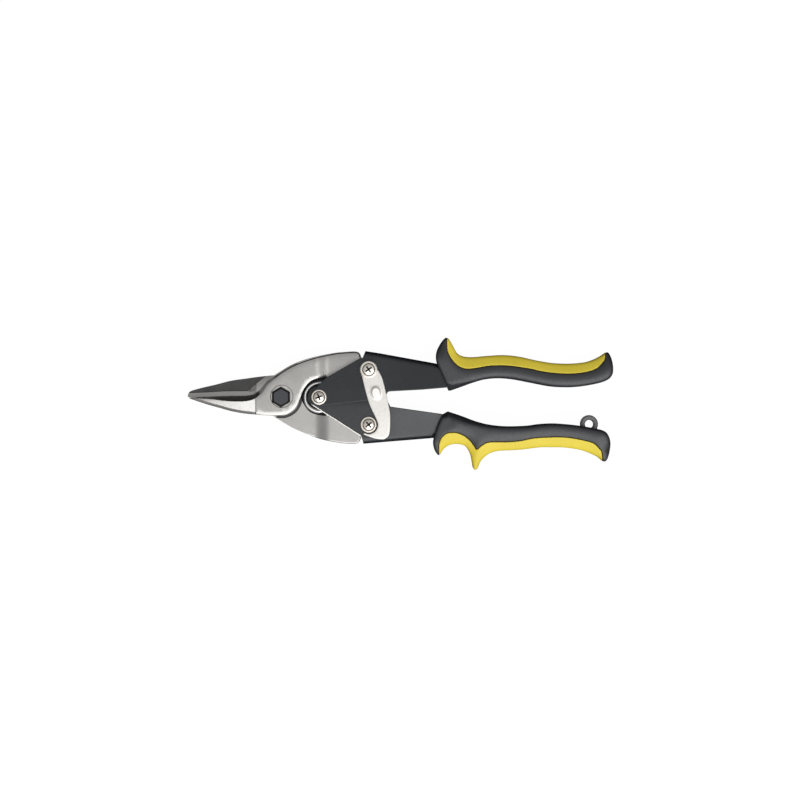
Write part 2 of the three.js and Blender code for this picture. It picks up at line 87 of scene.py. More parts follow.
def smooth(points, steps=8):
    """A Catmull-Rom curve through the points."""
    p = np.array([points[0], *points, points[-1]], float)
    t = np.linspace(0, 1, steps + 1)[1:, None]
    runs = [p[1:2]]
    for a, b, c, d in zip(p, p[1:], p[2:], p[3:]):
        start, end = (c - a) / 2, (d - b) / 2
        cubic = 2 * b - 2 * c + start + end
        square = 3 * c - 3 * b - 2 * start - end
        runs.append(cubic * t**3 + square * t**2 + start * t + b)
    return np.vstack(runs)


def arc(centre, radius, start, end, steps=24):
    """Points on a circle, from one angle to another, in degrees."""
    angle = np.radians(np.linspace(start, end, steps + 1))
    return np.column_stack([centre[0] + radius * np.cos(angle), centre[1] + radius * np.sin(angle)])


def circle(centre, radius, steps=48):
    return arc(centre, radius, 0, 360, steps)[:-1]


def outline(*steps, spacing=2.0):
    """A closed outline, counter-clockwise. A tuple is a corner, a list is a smooth run that starts at the
    point before it, and an array is a run of points."""
    points = [np.array(steps[0], float)]
    for step in steps[1:]:
        if isinstance(step, list):
            points += list(smooth([tuple(points[-1]), *step])[1:])
        elif isinstance(step, tuple):
            points.append(np.array(step, float))
        else:
            points += list(step)
    loop = divided(closed(np.array(points)), spacing)[:-1]
    keep = np.linalg.norm(loop - np.roll(loop, 1, axis=0), axis=1) > 1e-3
    loop = loop[keep]
    x, y = loop.T
    area = np.sum(x * np.roll(y, -1) - y * np.roll(x, -1))
    return loop if area > 0 else loop[::-1]


def closed(loop):
    return np.vstack([loop, loop[:1]])


def divided(line, spacing):
    """The line with its long segments cut to at most the spacing."""
    points = [line[:1]]
    for a, b in zip(line, line[1:]):
        count = max(1, math.ceil(np.linalg.norm(b - a) / spacing))
        points.append(a + (b - a) * np.linspace(0, 1, count + 1)[1:, None])
    return np.vstack(points)


def distance(points, line):
    """From each point to the nearest place on the line."""
    best = np.full(len(points), np.inf)
    for a, b in zip(line, line[1:]):
        along = b - a
        t = np.clip((points - a) @ along / max(along @ along, 1e-12), 0, 1)
        best = np.minimum(best, np.linalg.norm(points - a - t[:, None] * along, axis=1))
    return best


def inside(points, loop):
    """Whether each point is inside the closed loop."""
    x, y = points.T
    result = np.zeros(len(points), bool)
    for (ax, ay), (bx, by) in zip(loop, np.roll(loop, -1, axis=0)):
        crosses = (ay > y) != (by > y)
        result ^= crosses & (x < (bx - ax) * (y - ay) / ((by - ay) or 1e-12) + ax)
    return result


def parallel(line, gap, is_loop=False):
    """Runs of points that lie a gap to the left of the line, without the stretches that fold over."""
    points = closed(line) if is_loop else line
    along = np.diff(points, axis=0)
    along /= np.maximum(np.linalg.norm(along, axis=1), 1e-9)[:, None]
    before = np.vstack([along[-1:] if is_loop else along[:1], along])
    after = np.vstack([along, along[:1] if is_loop else along[-1:]])
    normal = np.column_stack([-(before + after)[:, 1], (before + after)[:, 0]])
    normal /= np.maximum((normal**2).sum(1) / 2, 0.6)[:, None]
    gaps = np.broadcast_to(gap, len(line))
    gaps = np.append(gaps, gaps[:1]) if is_loop else gaps
    moved = points + normal * gaps[:, None]
    good = distance(moved, points) > 0.96 * np.abs(gaps)
    runs, run = [], []
    for point, keep in zip(moved, good):
        if keep:
            run.append(point)
        elif run:
            runs.append(np.array(run))
            run = []
    if run:
        runs.append(np.array(run))
    return [r for r in runs if len(r) > 1]


def rings(line, gaps, is_loop=True):
    """Lines inside the outline that follow it or a part of it, where a rounded edge needs them."""
    return [run for gap in gaps for run in parallel(line, gap, is_loop)]


def circles(centre, radii, steps):
    return [closed(circle(centre, radius, steps)) for radius in radii]


def ramp(value, start, end):
    """From 0 at start to 1 at end, in a straight line."""
    return np.clip((value - start) / (end - start), 0, 1)


def ease(value, start, end):
    """From 0 at start to 1 at end, with no corner."""
    t = ramp(value, start, end)
    return t * t * (3 - 2 * t)


def rounding(gap, radius):
    """How far a surface has dropped at this gap from an edge rounded to the radius."""
    rest = radius - np.clip(gap, 0, radius)
    return radius - np.sqrt(np.maximum(radius**2 - rest**2, 0))


ROUND_STEPS = 1 - np.cos(np.radians([20, 40, 60, 75, 90]))  # where a quarter round's rings lie, for radius 1

# --- meshes ---


def triangulate(loop, holes=(), lines=(), spacing=1.5):
    """Points and triangles that fill the outline, with edges along every line."""
    runs = [closed(loop), *[closed(hole) for hole in holes], *[divided(np.array(r), spacing) for r in lines]]
    points, edges = [], []
    for run in runs:
        first = len(points)
        points += [Vector(p) for p in run]
        edges += [(i, i + 1) for i in range(first, len(points) - 1)]
    tree = KDTree(len(points))
    for i, point in enumerate(points):
        tree.insert((*point, 0), i)
    tree.balance()
    low, high = loop.min(0), loop.max(0)
    row = spacing * math.sqrt(3) / 2
    grid = np.array([(x + (j % 2) * spacing / 2, y) for j, y in enumerate(np.arange(low[1], high[1], row))
                     for x in np.arange(low[0], high[0], spacing)])
    for x, y in grid[inside(grid, loop)]:
        if tree.find((x, y, 0))[2] > 0.6 * spacing:
            points.append(Vector((x, y)))
    made = delaunay_2d_cdt(points, edges, [], 0, 1e-4)
    flat = np.array([tuple(v) for v in made[0]])
    faces = np.array([f for f in made[2] if len(f) == 3])
    centres = flat[faces].mean(1)
    kept = inside(centres, loop)
    for hole in holes:
        kept &= ~inside(centres, hole)
    return flat, faces[kept]


def rim_edges(faces):
    """The directed edges that only one triangle has."""
    directed = np.vstack([faces[:, [0, 1]], faces[:, [1, 2]], faces[:, [2, 0]]])
    known = set(map(tuple, directed))
    return [(a, b) for a, b in directed if (b, a) not in known]


def softened(loop, height, points, cell=0.6, spread=1.1):
    """The height over the outline, averaged over a small patch round each point."""
    low, high = loop.min(0) - 2, loop.max(0) + 2
    xs, ys = np.arange(low[0], high[0], cell), np.arange(low[1], high[1], cell)
    grid = np.stack(np.meshgrid(xs, ys, indexing="ij"), axis=-1).reshape(-1, 2)
    share = inside(grid, loop).astype(float)
    reach = np.arange(-round(3 * spread / cell), round(3 * spread / cell) + 1) * cell
    kernel = np.exp(-((reach / spread) ** 2) / 2)
    layers = []
    for layer in (height(grid) * share, share):
        layer = layer.reshape(len(xs), len(ys))
        for axis in (0, 1):
            layer = np.apply_along_axis(np.convolve, axis, layer, kernel, "same")
        layers.append(layer)
    mean = layers[0] / np.maximum(layers[1], 1e-9)
    at = (points - low) / cell
    i = np.clip(at.astype(int), 0, (len(xs) - 2, len(ys) - 2))
    u, v = (at - i).T
    i, j = i.T
    return (mean[i, j] * (1 - u) * (1 - v) + mean[i + 1, j] * u * (1 - v) + mean[i, j + 1] * (1 - u) * v
            + mean[i + 1, j + 1] * u * v)


def added(name, data):
    """An object with this data, in the scene."""
    made = bpy.data.objects.new(name, data)
    bpy.context.scene.collection.objects.link(made)
    return made


def mesh_object(name, points, faces, sharp=35, turned=False):
    """A closed smooth-shaded mesh from points in millimetres. Turned lays it half a turn about X at MID."""
    points = np.array(points, float)
    if turned:
        points = points * (1, -1, -1) + (0, 0, 2 * MID)
    mesh = bpy.data.meshes.new(name)
    mesh.from_pydata((points * MM).tolist(), [], [tuple(int(i) for i in f) for f in faces])
    mesh.validate()
    mesh.polygons.foreach_set("use_smooth", [True] * len(mesh.polygons))
    mesh.set_sharp_from_angle(angle=math.radians(sharp))
    return added(name, mesh)


def renumbered(faces, count):
    """Which of so many points the faces use, and the faces in terms of those."""
    used = np.unique(np.concatenate([np.asarray(f) for f in faces]))
    order = np.full(count, -1)
    order[used] = np.arange(len(used))
    return used, [tuple(order[list(f)]) for f in faces]


def between(flat, faces, top, bottom):
    """Points and faces of the solid between two heights over the same triangles."""
    used, faces = renumbered(faces, len(flat))
    faces = np.array(faces)
    count = len(used)
    points = np.vstack([np.column_stack([flat[used], height[used]]) for height in (top, bottom)])
    walls = [(a, a + count, b + count, b) for a, b in rim_edges(faces)]
    return points, [*faces, *(faces[:, ::-1] + count), *walls]


def slab(name, flat, faces, top, bottom, **options):
    return mesh_object(name, *between(flat, faces, top, bottom), **options)


def paint(piece, finishes, choose=None):
    """The piece with its finishes. choose says which one each face has, from its centre in millimetres and
    its normal."""
    for finish in finishes:
        piece.data.materials.append(finish)
    if choose:
        count = len(piece.data.polygons)
        centres, normals = np.zeros(count * 3), np.zeros(count * 3)
        piece.data.polygons.foreach_get("center", centres)
        piece.data.polygons.foreach_get("normal", normals)
        chosen = choose(centres.reshape(-1, 3) / MM, normals.reshape(-1, 3))
        piece.data.polygons.foreach_set("material_index", np.asarray(chosen, int))
    return piece


def place(piece, body, slot, *nodes):
    """The piece rides on the body and stands for the CAD nodes. The slot is not used."""
    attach(piece, body)
    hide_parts(*nodes)


# --- materials ---


class Nodes:
    """A material's node tree, with short calls for the nodes used here."""

    def __init__(self, name):
        self.material = bpy.data.materials.new(name)
        self.material.use_nodes = True
        self.tree = self.material.node_tree
        self.shader = self.tree.nodes["Principled BSDF"]
        self.where = self.new("ShaderNodeTexCoord").outputs["Object"]

    def new(self, kind, **inputs):
        node = self.tree.nodes.new(kind)
        for key, value in inputs.items():
            self.feed(node, key.replace("_", " "), value)
        return node

    def feed(self, node, key, value):
        if isinstance(value, bpy.types.NodeSocket):
            self.tree.links.new(value, node.inputs[key])
        else:
            node.inputs[key].default_value = value

    def noise(self, scale, detail=4, stretch=(1, 1, 1)):
        """Noise with this many cells in a metre, drawn out by the stretch along each axis."""
        mapping = self.new("ShaderNodeMapping", Vector=self.where, Scale=[1 / s for s in stretch])
        noise = self.new("ShaderNodeTexNoise", Vector=mapping.outputs[0], Scale=scale, Detail=detail)
        return noise.outputs["Fac"]

    def span(self, factor, low, high, start=0.3, end=0.7):
        """The factor's range from start to end, spread from low to high."""
        node = self.new("ShaderNodeMapRange", Value=factor)
        for key, value in (("From Min", start), ("From Max", end), ("To Min", low), ("To Max", high)):
            node.inputs[key].default_value = value
        return node.outputs[0]

    def mix(self, factor, a, b):
        node = self.tree.nodes.new("ShaderNodeMix")
        node.data_type = "RGBA"
        for key, value in ((0, factor), (6, a), (7, b)):
            self.feed(node, key, value)
        return node.outputs[2]

    def bump(self, height, strength, depth, normal=None):
        node = self.new("ShaderNodeBump", Height=height, Strength=strength, Distance=depth)
        if normal:
            self.tree.links.new(normal, node.inputs["Normal"])
        return node.outputs[0]

    def finish(self, **inputs):
        for key, value in inputs.items():
            self.feed(self.shader, key.replace("_", " "), value)
        return self.material


def grey(level, warmth=0.0):
    """A grey, warmer as warmth rises."""
    return (level * (1 + warmth), level, level * (1 - 1.5 * warmth), 1)


def brushed_metal(name, light, dark, roughness, grain=(7, 1, 1), bump=0.07, worn=0.4, metallic=1.0):
    """Metal with fine drawn-out scratches, cloudy patches and a slightly uneven gloss."""
    n = Nodes(name)
    clouds = n.noise(90, 5)
    mottle = n.noise(1000, 3)
    scratches = n.noise(3600, 4, grain)
    speckle = n.noise(5200, 2)
    tone = n.mix(n.span(clouds, 0, worn), light, dark)
    tone = n.mix(n.span(mottle, 0, 0.3), tone, dark)
    tone = n.mix(n.span(scratches, 0, 0.16), tone, dark)
    gloss = n.span(scratches, roughness - 0.06, roughness + 0.08)
    height = n.bump(scratches, bump, 0.00004)
    height = n.bump(speckle, bump * 0.7, 0.00003, height)
    return n.finish(Base_Color=tone, Metallic=metallic, Roughness=gloss, Normal=height)


def coated_metal(name, light, dark, roughness, metallic=0.0, shine=0.5):
    """A dark smooth coat with faint orange peel and dust."""
    n = Nodes(name)
    clouds = n.noise(60, 6)
    peel = n.noise(1500, 3)
    speckle = n.noise(6000, 2)
    tone = n.mix(n.span(clouds, 0, 1), light, dark)
    tone = n.mix(n.span(speckle, 0, 0.25, 0.55, 0.8), tone, grey(0.2))
    gloss = n.span(clouds, roughness - 0.05, roughness + 0.07)
    height = n.bump(peel, 0.1, 0.00008)
    return n.finish(Base_Color=tone, Metallic=metallic, Roughness=gloss, Normal=height,
                    Specular_IOR_Level=shine)


def moulded(name, light, dark, roughness, texture=0.35, shine=0.5):
    """Moulded plastic or rubber with a fine matt texture and faint rub marks."""
    n = Nodes(name)
    clouds = n.noise(45, 5)
    grain = n.noise(3200, 3)
    pores = n.noise(1100, 4)
    tone = n.mix(n.span(clouds, 0, 1), light, dark)
    tone = n.mix(n.span(grain, 0, 0.2), tone, dark)
    gloss = n.span(pores, roughness - 0.06, roughness + 0.08)
    height = n.bump(grain, texture, 0.00006)
    height = n.bump(pores, texture * 0.6, 0.0001, height)
    return n.finish(Base_Color=tone, Roughness=gloss, Normal=height, Specular_IOR_Level=shine)


STEEL = brushed_metal("ground_steel", grey(0.5, 0.02), grey(0.35, 0.03), 0.34, (3, 1, 1))
# Grey steel on the far jaw's shear land, and as painted shade on the body's cutting bevel.
GREY_STEEL = brushed_metal("grey_steel_and_painted_shade", grey(0.26, 0.03), grey(0.2, 0.02), 0.42, (3, 1, 1))
# Painted highlight: bright steel put along the lower handle's lit edge.
PAINTED_HIGHLIGHT_STEEL = brushed_metal("painted_highlight_edge", grey(0.78, 0.03), grey(0.62, 0.03), 0.3)
# Dark steel on the relief, and as painted shade in the groove round the pivot and on the wall along the back
# rim.
DARK_STEEL = brushed_metal("dark_relief_and_painted_shade", grey(0.1, 0.01), grey(0.06), 0.5, worn=0.7)
# Painted shade: black put on the blades' steep walls, the pivot bolt's border and the screws' recesses and
# grooves.
PAINTED_SHADE_STEEL = brushed_metal("painted_shade_black", grey(0.018, 0.02), grey(0.01), 0.45)
OXIDE = coated_metal("black_oxide", (0.06, 0.064, 0.07, 1), (0.038, 0.041, 0.046, 1), 0.42, 0.5)
NICKEL = brushed_metal("plated_steel", grey(0.84, 0.06), grey(0.66, 0.07), 0.22, (1, 1, 1), 0.06)
BRIGHT = brushed_metal("bright_plate", grey(0.78, 0.03), grey(0.66, 0.035), 0.32, (1, 9, 1), 0.05, 0.35, 0.5)
COAT = coated_metal("dark_coat", (0.009, 0.012, 0.016, 1), (0.006, 0.008, 0.011, 1), 0.24, 0.0, 0.55)
SPRING = brushed_metal("spring_steel", grey(0.62), grey(0.44), 0.36, (1, 1, 1))
CHARCOAL = moulded("charcoal_grip", (0.022, 0.023, 0.027, 1), (0.015, 0.0155, 0.019, 1), 0.46, 0.35, 0.75)
YELLOW = moulded("yellow_grip", (0.76, 0.61, 0.05, 1), (0.67, 0.53, 0.035, 1), 0.52, 0.3)
LOOP_PLASTIC = moulded("loop_plastic", grey(0.18), grey(0.14), 0.42)

# --- blades ---
# Drawn in the near blade's place: outer face up, inner face down on the shear plane. The far blade is turned.

TAIL_BOTTOM, OUTER = levels("near_blade")
THICK = 2 * (MID - TAIL_BOTTOM)
INNER = OUTER - THICK
JOGGLE = (19.9, 28.6)  # x where the joggle starts and ends
JOGGLE_DROP = INNER - TAIL_BOTTOM
CREASE = -14.6  # x where the jaw's hollow outer face begins
CREASE_WIDTH = 0.5
HOLLOW_STEP = 0.1  # how far below the body's face the hollow starts
HOLLOW_FALL = (0.02, 0.0009)  # slope and curve with which it falls towards the tip
HOLLOW_TILT = 0.2  # its slope towards the inner side, from HOLLOW_TOP down
TILT_LOST = (0.45, 3, 36)  # share of that slope that is lost, and between which distances from the crease
HOLLOW_TOP = -1.5
TAIL_BOSS = arc(UPPER_TAIL, 7, 115, -90)

NEAR_BLADE = {
    "tip": (-54.6, -0.3),
    "edge": [(-47.7, -0.2), (-38.7, 0.4), (-29.7, 0.6), (-20.6, 0.8), (-16.1, 1.7), (-14, 3), (-12, 4.5),
             (-9, 8.5), (-6, 11.2), (-3.6, 13.1), (-0.3, 15.2), (5.7, 18.8), (13, 21.8), (21.7, 24.2),
             (31.1, 26), (38.2, 26.7), (43.6, 26.9), (46.1, 26), (47.1, 23.6)],
    "front": [(22.6, 11.1), (19.3, 10.2), (16.3, 8.3), (13, 3.8), (11.4, -0.5), (8.7, -6.1), (4.2, -9.8),
              (-0.3, -10.7), (-6.3, -10.8), (-14.6, -10.3), (-22.1, -9.6), (-29.7, -8.2), (-35.7, -6.5),
              (-41.7, -4.9), (-47.7, -3), (-52.9, -1.2)],
}
FAR_BLADE = {
    "tip": (-55.2, -1),
    "edge": [(-54.4, 0.1), (-47.7, 0.3), (-38.7, 0.8), (-29.7, 1.1), (-20.6, 1.4), (-16.1, 2.2), (-14, 3.2),
             (-12, 4.5), (-9, 7.7), (-6, 10.2), (-3.6, 11.9), (-0.3, 14), (5.7, 17.6), (12.2, 20.6),
             (21.7, 24.3), (31.1, 26.4), (38.2, 27.3), (43.6, 27.4), (45.9, 26.3), (47, 23.8)],
    "front": [(22.6, 10.7), (19.1, 9.8), (16, 8), (13, 3.8), (11.2, -0.5), (8.7, -5.6), (5.2, -9.9),
              (1, -12.3), (-3.6, -12.9), (-12.6, -12.1), (-20.6, -11), (-29.7, -9.7), (-38.7, -7.4),
              (-47.7, -5.3), (-53.7, -3.4)],
}
TANG_CORNER = (26.2, 11.1)

# Along the edge side: width of the cutting bevel or of the slope down to the rim, at each x
SLOPE_IN = [(-54, 0.4), (-47.7, 0.6), (-41.7, 1.4), (-35.7, 2.5), (-29.7, 3.2), (-22.1, 3.3), (-17.6, 3),
            (CREASE, 2.3), (-11, 1.8), (-4, 1.7)]
RIM = (0.85, 0.3)  # width of the low rim along the back, over the pivot and at the tail
EDGE_WALL = 0.65  # width of the wall that it ends at, painted dark as shade
RIM_DROP = 0.5
EDGE_THICK = 0.35  # at the cutting edge
FRONT_BEVEL = 1.6  # width of the bevel along the inner side
FRONT_DROP = (0.45, 1.1)  # how far the bevel falls, on the body and on the jaw
FRONT_EASE = 0.3
BACK_EASE = 2.6  # width over which the face falls off towards the back
BACK_FALL = 0.16  # and how far
BACK_ROUND = 0.2  # rounding of the back's edge
FACE_CROWN = 0.0007  # curve of the outer face, from the inner side to the back
TAIL_EASE = 0.8  # rounding of the inner face at the tail's back
RELIEF_TOP = [(-60, -2.2), (-50.2, -2.5), (-41.7, -2.9), (-32.7, -3.4), (-12, -3.6)]
RELIEF_STEP = (0.25, 0.3)  # depth and width of the step down to it
RELIEF_SLOPE = 0.07  # how it deepens from there
RELIEF_RAMP = ((-15.6, -3.8), (-5.1, -12.2), 2.6)  # where the relief runs out, and over what width
GROOVE = (10.9, 12.5)  # radii of the groove round the pivot, on the inner face, painted dark as shade
GROOVE_ARC = (-18, 102)  # and where it starts and ends, in degrees
GROOVE_WALLS = (0.15, 0.3)  # widths of its inner and outer wall
GROOVE_DEPTH = 0.45
RECESS = ((0.45, 0.4), 6.75, 14.8)  # centre, radius and floor of the recess for the bolt's head
RECESS_SLANT = 0.3
# Ranges of x over which the faces change
RIM_FROM, RIM_NARROWS, BACK_FROM = (-11, -2), (8, 34), (-4, 1)
BEVEL_END, FRONT_CHANGE, TAIL_FROM = (-17, -12), (-18, -11), (14, 24)
CROWN_FROM = -11  # y


def rim_width(x):
    return np.interp(x, RIM_NARROWS, RIM) * ease(x, *RIM_FROM)


def slope_in(x):
    on_back = ease(x, *BACK_FROM)
    return np.interp(x, *zip(*SLOPE_IN)) * (1 - on_back) + (rim_width(x) + EDGE_WALL) * on_back


def joggle(x):
    return JOGGLE_DROP * ease(x, *JOGGLE)


def relief_gap(x, y):
    """How far a point is past the line where the inner relief runs out."""
    (ax, ay), (bx, by), width = RELIEF_RAMP
    length = math.hypot(bx - ax, by - ay)
    return ((x - ax) * (by - ay) - (y - ay) * (bx - ax)) / length / width


def groove_floor():
    """The radii between which the groove is flat."""
    return GROOVE[0] + GROOVE_WALLS[0], GROOVE[1] - GROOVE_WALLS[1]


def in_groove(flat):
    """From 0 outside the groove to 1 on its floor."""
    x, y = flat.T
    away, angle = np.hypot(x, y), np.degrees(np.arctan2(y, x))
    floor_low, floor_high = groove_floor()
    across = ramp(away, GROOVE[0], floor_low) * ramp(away, GROOVE[1], floor_high)
    return across * (angle > GROOVE_ARC[0]) * (angle < GROOVE_ARC[1])


def inner_face(flat, edge):
    x, y = flat.T
    below = np.interp(x, *zip(*RELIEF_TOP)) - y
    depth = RELIEF_STEP[0] * ramp(below, 0, RELIEF_STEP[1]) + RELIEF_SLOPE * np.maximum(below, 0)
    relief = depth * np.clip(relief_gap(x, y), 0, 1)
    tail_round = rounding(distance(flat, edge), TAIL_EASE) * ease(x, *TAIL_FROM)
    return INNER + relief + GROOVE_DEPTH * in_groove(flat) + tail_round - joggle(x)


def outer_face(flat, edge, front):
    x, y = flat.T
    back = np.clip(CREASE - x, 0, None)
    start = 1 - (1 - ramp(back, 0, CREASE_WIDTH)) ** 2
    across = HOLLOW_TILT * (1 - TILT_LOST[0] * ramp(back, *TILT_LOST[1:]))
    face = OUTER - HOLLOW_STEP * start - HOLLOW_FALL[0] * back - HOLLOW_FALL[1] * back**2
    face -= across * start * np.clip(HOLLOW_TOP - y, 0, None)
    face -= FACE_CROWN * np.clip(y - CROWN_FROM, 0, None) ** 2
    thin = ease(x, *BEVEL_END)
    drop = (face - INNER - EDGE_THICK) * (1 - thin) + RIM_DROP * thin
    from_edge = distance(flat, edge)
    climb = np.clip((from_edge - rim_width(x)) / (slope_in(x) - rim_width(x)), 0, 1)
    from_front = distance(flat, front)
    fall = np.interp(x, FRONT_CHANGE, FRONT_DROP[::-1])
    face -= drop * (1 - climb) + fall * ramp(from_front, FRONT_BEVEL, 0) + rounding(from_front, FRONT_EASE)
    back_fall = BACK_FALL * ramp(from_edge - slope_in(x), BACK_EASE, 0) ** 2
    face -= (rounding(from_edge, BACK_ROUND) + back_fall) * thin
    centre, radius, floor = RECESS
    away = np.hypot(*(flat - centre).T)
    face -= (face - floor) * ramp(away, radius, radius - RECESS_SLANT)
    return face - joggle(x)


def blade(name, spec, turned):
    edge = smooth([spec["tip"], *spec["edge"]])
    front = smooth([TANG_CORNER, *spec["front"], spec["tip"]])
    loop = outline(*map(tuple, edge), TAIL_BOSS, *map(tuple, front), spacing=1.5)
    x = edge[:, 0]
    lines = [*parallel(edge, -slope_in(x)), *parallel(edge, -rim_width(x) - 0.02)]
    lines += rings(front, [*-FRONT_EASE * ROUND_STEPS, -FRONT_BEVEL], False)
    lines += [run for gap in (0.7, 1.5, BACK_EASE) for run in parallel(edge, -slope_in(x) - gap)]
    lines += rings(edge[x > 10], -TAIL_EASE * ROUND_STEPS, False)
    lines += [np.array([(at, 10), (at, -20)]) for at in (CREASE, CREASE - CREASE_WIDTH)]
    lines += [np.array([(at, -40), (at, 40)]) for at in np.linspace(*JOGGLE, 9)]
    relief_top = np.array(RELIEF_TOP, float)
    lines += [relief_top, relief_top - (0, RELIEF_STEP[1])]
    (ax, ay), (bx, by), width = RELIEF_RAMP
    aside = np.array([by - ay, ax - bx]) / math.hypot(bx - ax, by - ay) * width
    run_out = np.array([(ax, ay), (bx, by)])
    lines += [run_out, run_out + aside]
    lines += circles(RECESS[0], (RECESS[1], RECESS[1] - RECESS_SLANT), 72)
    lines += [arc(BLADE_PIVOT, r, *GROOVE_ARC, 30) for r in (GROOVE[0], *groove_floor(), GROOVE[1])]
    flat, faces = triangulate(loop, lines=lines, spacing=1.6)
    top = outer_face(flat, edge, front)
    bottom = inner_face(flat, edge)
    made = slab(name, flat, faces, np.maximum(top, bottom + 0.2), bottom, sharp=24, turned=turned)

    def choose(centres, normals):
        if turned:
            centres = centres * (1, -1, -1) + (0, 0, 2 * MID)
            normals = normals * (1, -1, -1)
        x, y = centres[:, :2].T
        up = normals[:, 2]
        near_edge = distance(centres[:, :2], edge)
        slope = (near_edge > rim_width(x)) & (near_edge < slope_in(x)) & (up > 0.2)
        relief = (np.interp(x, *zip(*RELIEF_TOP)) - y > 0) & (relief_gap(x, y) > 0.98) & (up < -0.5)
        # steep walls get the painted shade black
        wall = np.abs(up) < 0.3
        # the groove is painted dark as shade
        groove = (in_groove(centres[:, :2]) > 0.5) & (up < -0.5)
        land = (x < CREASE) & (up < -0.5)
        # Painted shade: the body's cutting bevel in grey and the back rim's wall in dark steel; the far jaw's
        # land is grey steel and the relief dark steel.
        grey = land & ~relief | slope & (x > CREASE) & (x < BACK_FROM[0])
        dark = slope & (x > CREASE) | relief | groove
        return np.select([wall, grey, dark], [3, 1, 2], 0)

    return paint(made, [STEEL, GREY_STEEL, DARK_STEEL, PAINTED_SHADE_STEEL], choose)


place(blade("lower_jaw_blade", NEAR_BLADE, False), "near_blade_body", "ground_steel", "near_blade")
place(blade("upper_jaw_blade", FAR_BLADE, True), "far_blade_body", "ground_steel", "far_blade")

# --- hexagons, washers and screws ---

SHANK = 2.5
SHANK_HOLE = 2.62  # radius of the holes round it
PIVOT_SHANK = 3.5
PIVOT_HOLE = 3.6
PIVOT_HEX = 10.5
HEX_EASE = 0.6
HEX_BORDER = 1.1  # width of the border along its edge painted black as shade
TAIL_NUT = 8
NUT_BEVEL = 0.95  # radius where a nut's bevel starts, as a share of half its width
NUT_SLOPE = 0.55
HOLE_BEVEL = 0.3
PIVOT_CHAMFER = 0.5


def hexagon(centre, across):
    """A hexagon with a corner at the top."""
    corner = across / math.sqrt(3)
    points = [tuple(np.array(centre) + corner * np.array([math.sin(a), math.cos(a)]))
              for a in np.radians(np.arange(0, 360, 60))]
    return outline(*points, spacing=0.6)


def washer(name, centre, inner, outer, low, high, ease_by=0.25):
    loop, hole = circle(centre, outer, 64), circle(centre, inner, 48)
    gaps = ease_by * ROUND_STEPS
    lines = circles(centre, outer - gaps, 64) + circles(centre, inner + gaps, 48)
    flat, faces = triangulate(loop, [hole], lines, 0.8)
    away = np.hypot(*(flat - centre).T)
    drop = rounding(outer - away, ease_by) + rounding(away - inner, ease_by)
    return paint(slab(name, flat, faces, high - drop, low + drop), [NICKEL])


def nut(name, centre, across, hole_radius, low, high, finish):
    loop, hole = hexagon(centre, across), circle(centre, hole_radius, 48)
    bevel = across / 2 * NUT_BEVEL
    lines = circles(centre, (bevel, hole_radius + HOLE_BEVEL), 72)
    flat, faces = triangulate(loop, [hole], lines, 0.8)
    away = np.hypot(*(flat - centre).T)
    drop = NUT_SLOPE * np.clip(away - bevel, 0, None) + np.clip(hole_radius + HOLE_BEVEL - away, 0, None)
    return paint(slab(name, flat, faces, high - drop, low + drop, sharp=20), [finish])


def pivot_bolt():
    low, high = levels("blade_pivot_bolt")
    seat = RECESS[2] + 0.1
    loop = hexagon(BLADE_PIVOT, PIVOT_HEX)
    radii = (PIVOT_SHANK, PIVOT_SHANK - 0.05, PIVOT_SHANK - PIVOT_CHAMFER)
    lines = circles(BLADE_PIVOT, radii, 72)
    lines += rings(loop, [*HEX_EASE * ROUND_STEPS, HEX_BORDER])
    flat, faces = triangulate(loop, lines=lines, spacing=0.8)
    away = np.hypot(*(flat - BLADE_PIVOT).T)
    top = high - rounding(distance(flat, closed(loop)), HEX_EASE)
    end = low + PIVOT_CHAMFER * ramp(away, PIVOT_SHANK - PIVOT_CHAMFER, PIVOT_SHANK - 0.05)
    bottom = np.where(away < PIVOT_SHANK - 0.01, end, seat)
    # the border along the hex's edge is painted black as shade
    return paint(slab("pivot_bolt", flat, faces, top, bottom, sharp=30), [OXIDE, PAINTED_SHADE_STEEL],
                 lambda at, _: (distance(at[:, :2], closed(loop)) < HEX_BORDER) & (at[:, 2] > seat))


CROSS_WIDTH, CROSS_LENGTH = 0.95, 4.5
CROSS_DEEP, CROSS_RISE = 1.25, 0.32  # its depth in the middle, and its floor's slope
CROSS_SLANT = 0.22
HEAD_GAP = 0.35  # width of the groove round a screw's head, painted black as shade
HEAD_GAP_DEEP = 0.3
DOME_DROP = 0.55  # share of the head's height by which it falls towards its edge
DOME_POWER = 2.6
FLANGE_EASE = 0.4
GAP_EASE = 0.1  # rounding of the flange at the groove
SHANK_CHAMFER = 0.4
BLACK_FROM = 0.7  # how far below the top the recess is painted black as shade


def cross(centre, width, length, turn):
    w, l = width / 2, length / 2
    corners = np.array([(l, -w), (l, w), (w, w), (w, l), (-w, l), (-w, w),
                        (-l, w), (-l, -w), (-w, -w), (-w, -l), (w, -l), (w, -w)])
    c, s = math.cos(turn), math.sin(turn)
    return closed(corners @ np.array([(c, s), (-s, c)]) + centre)


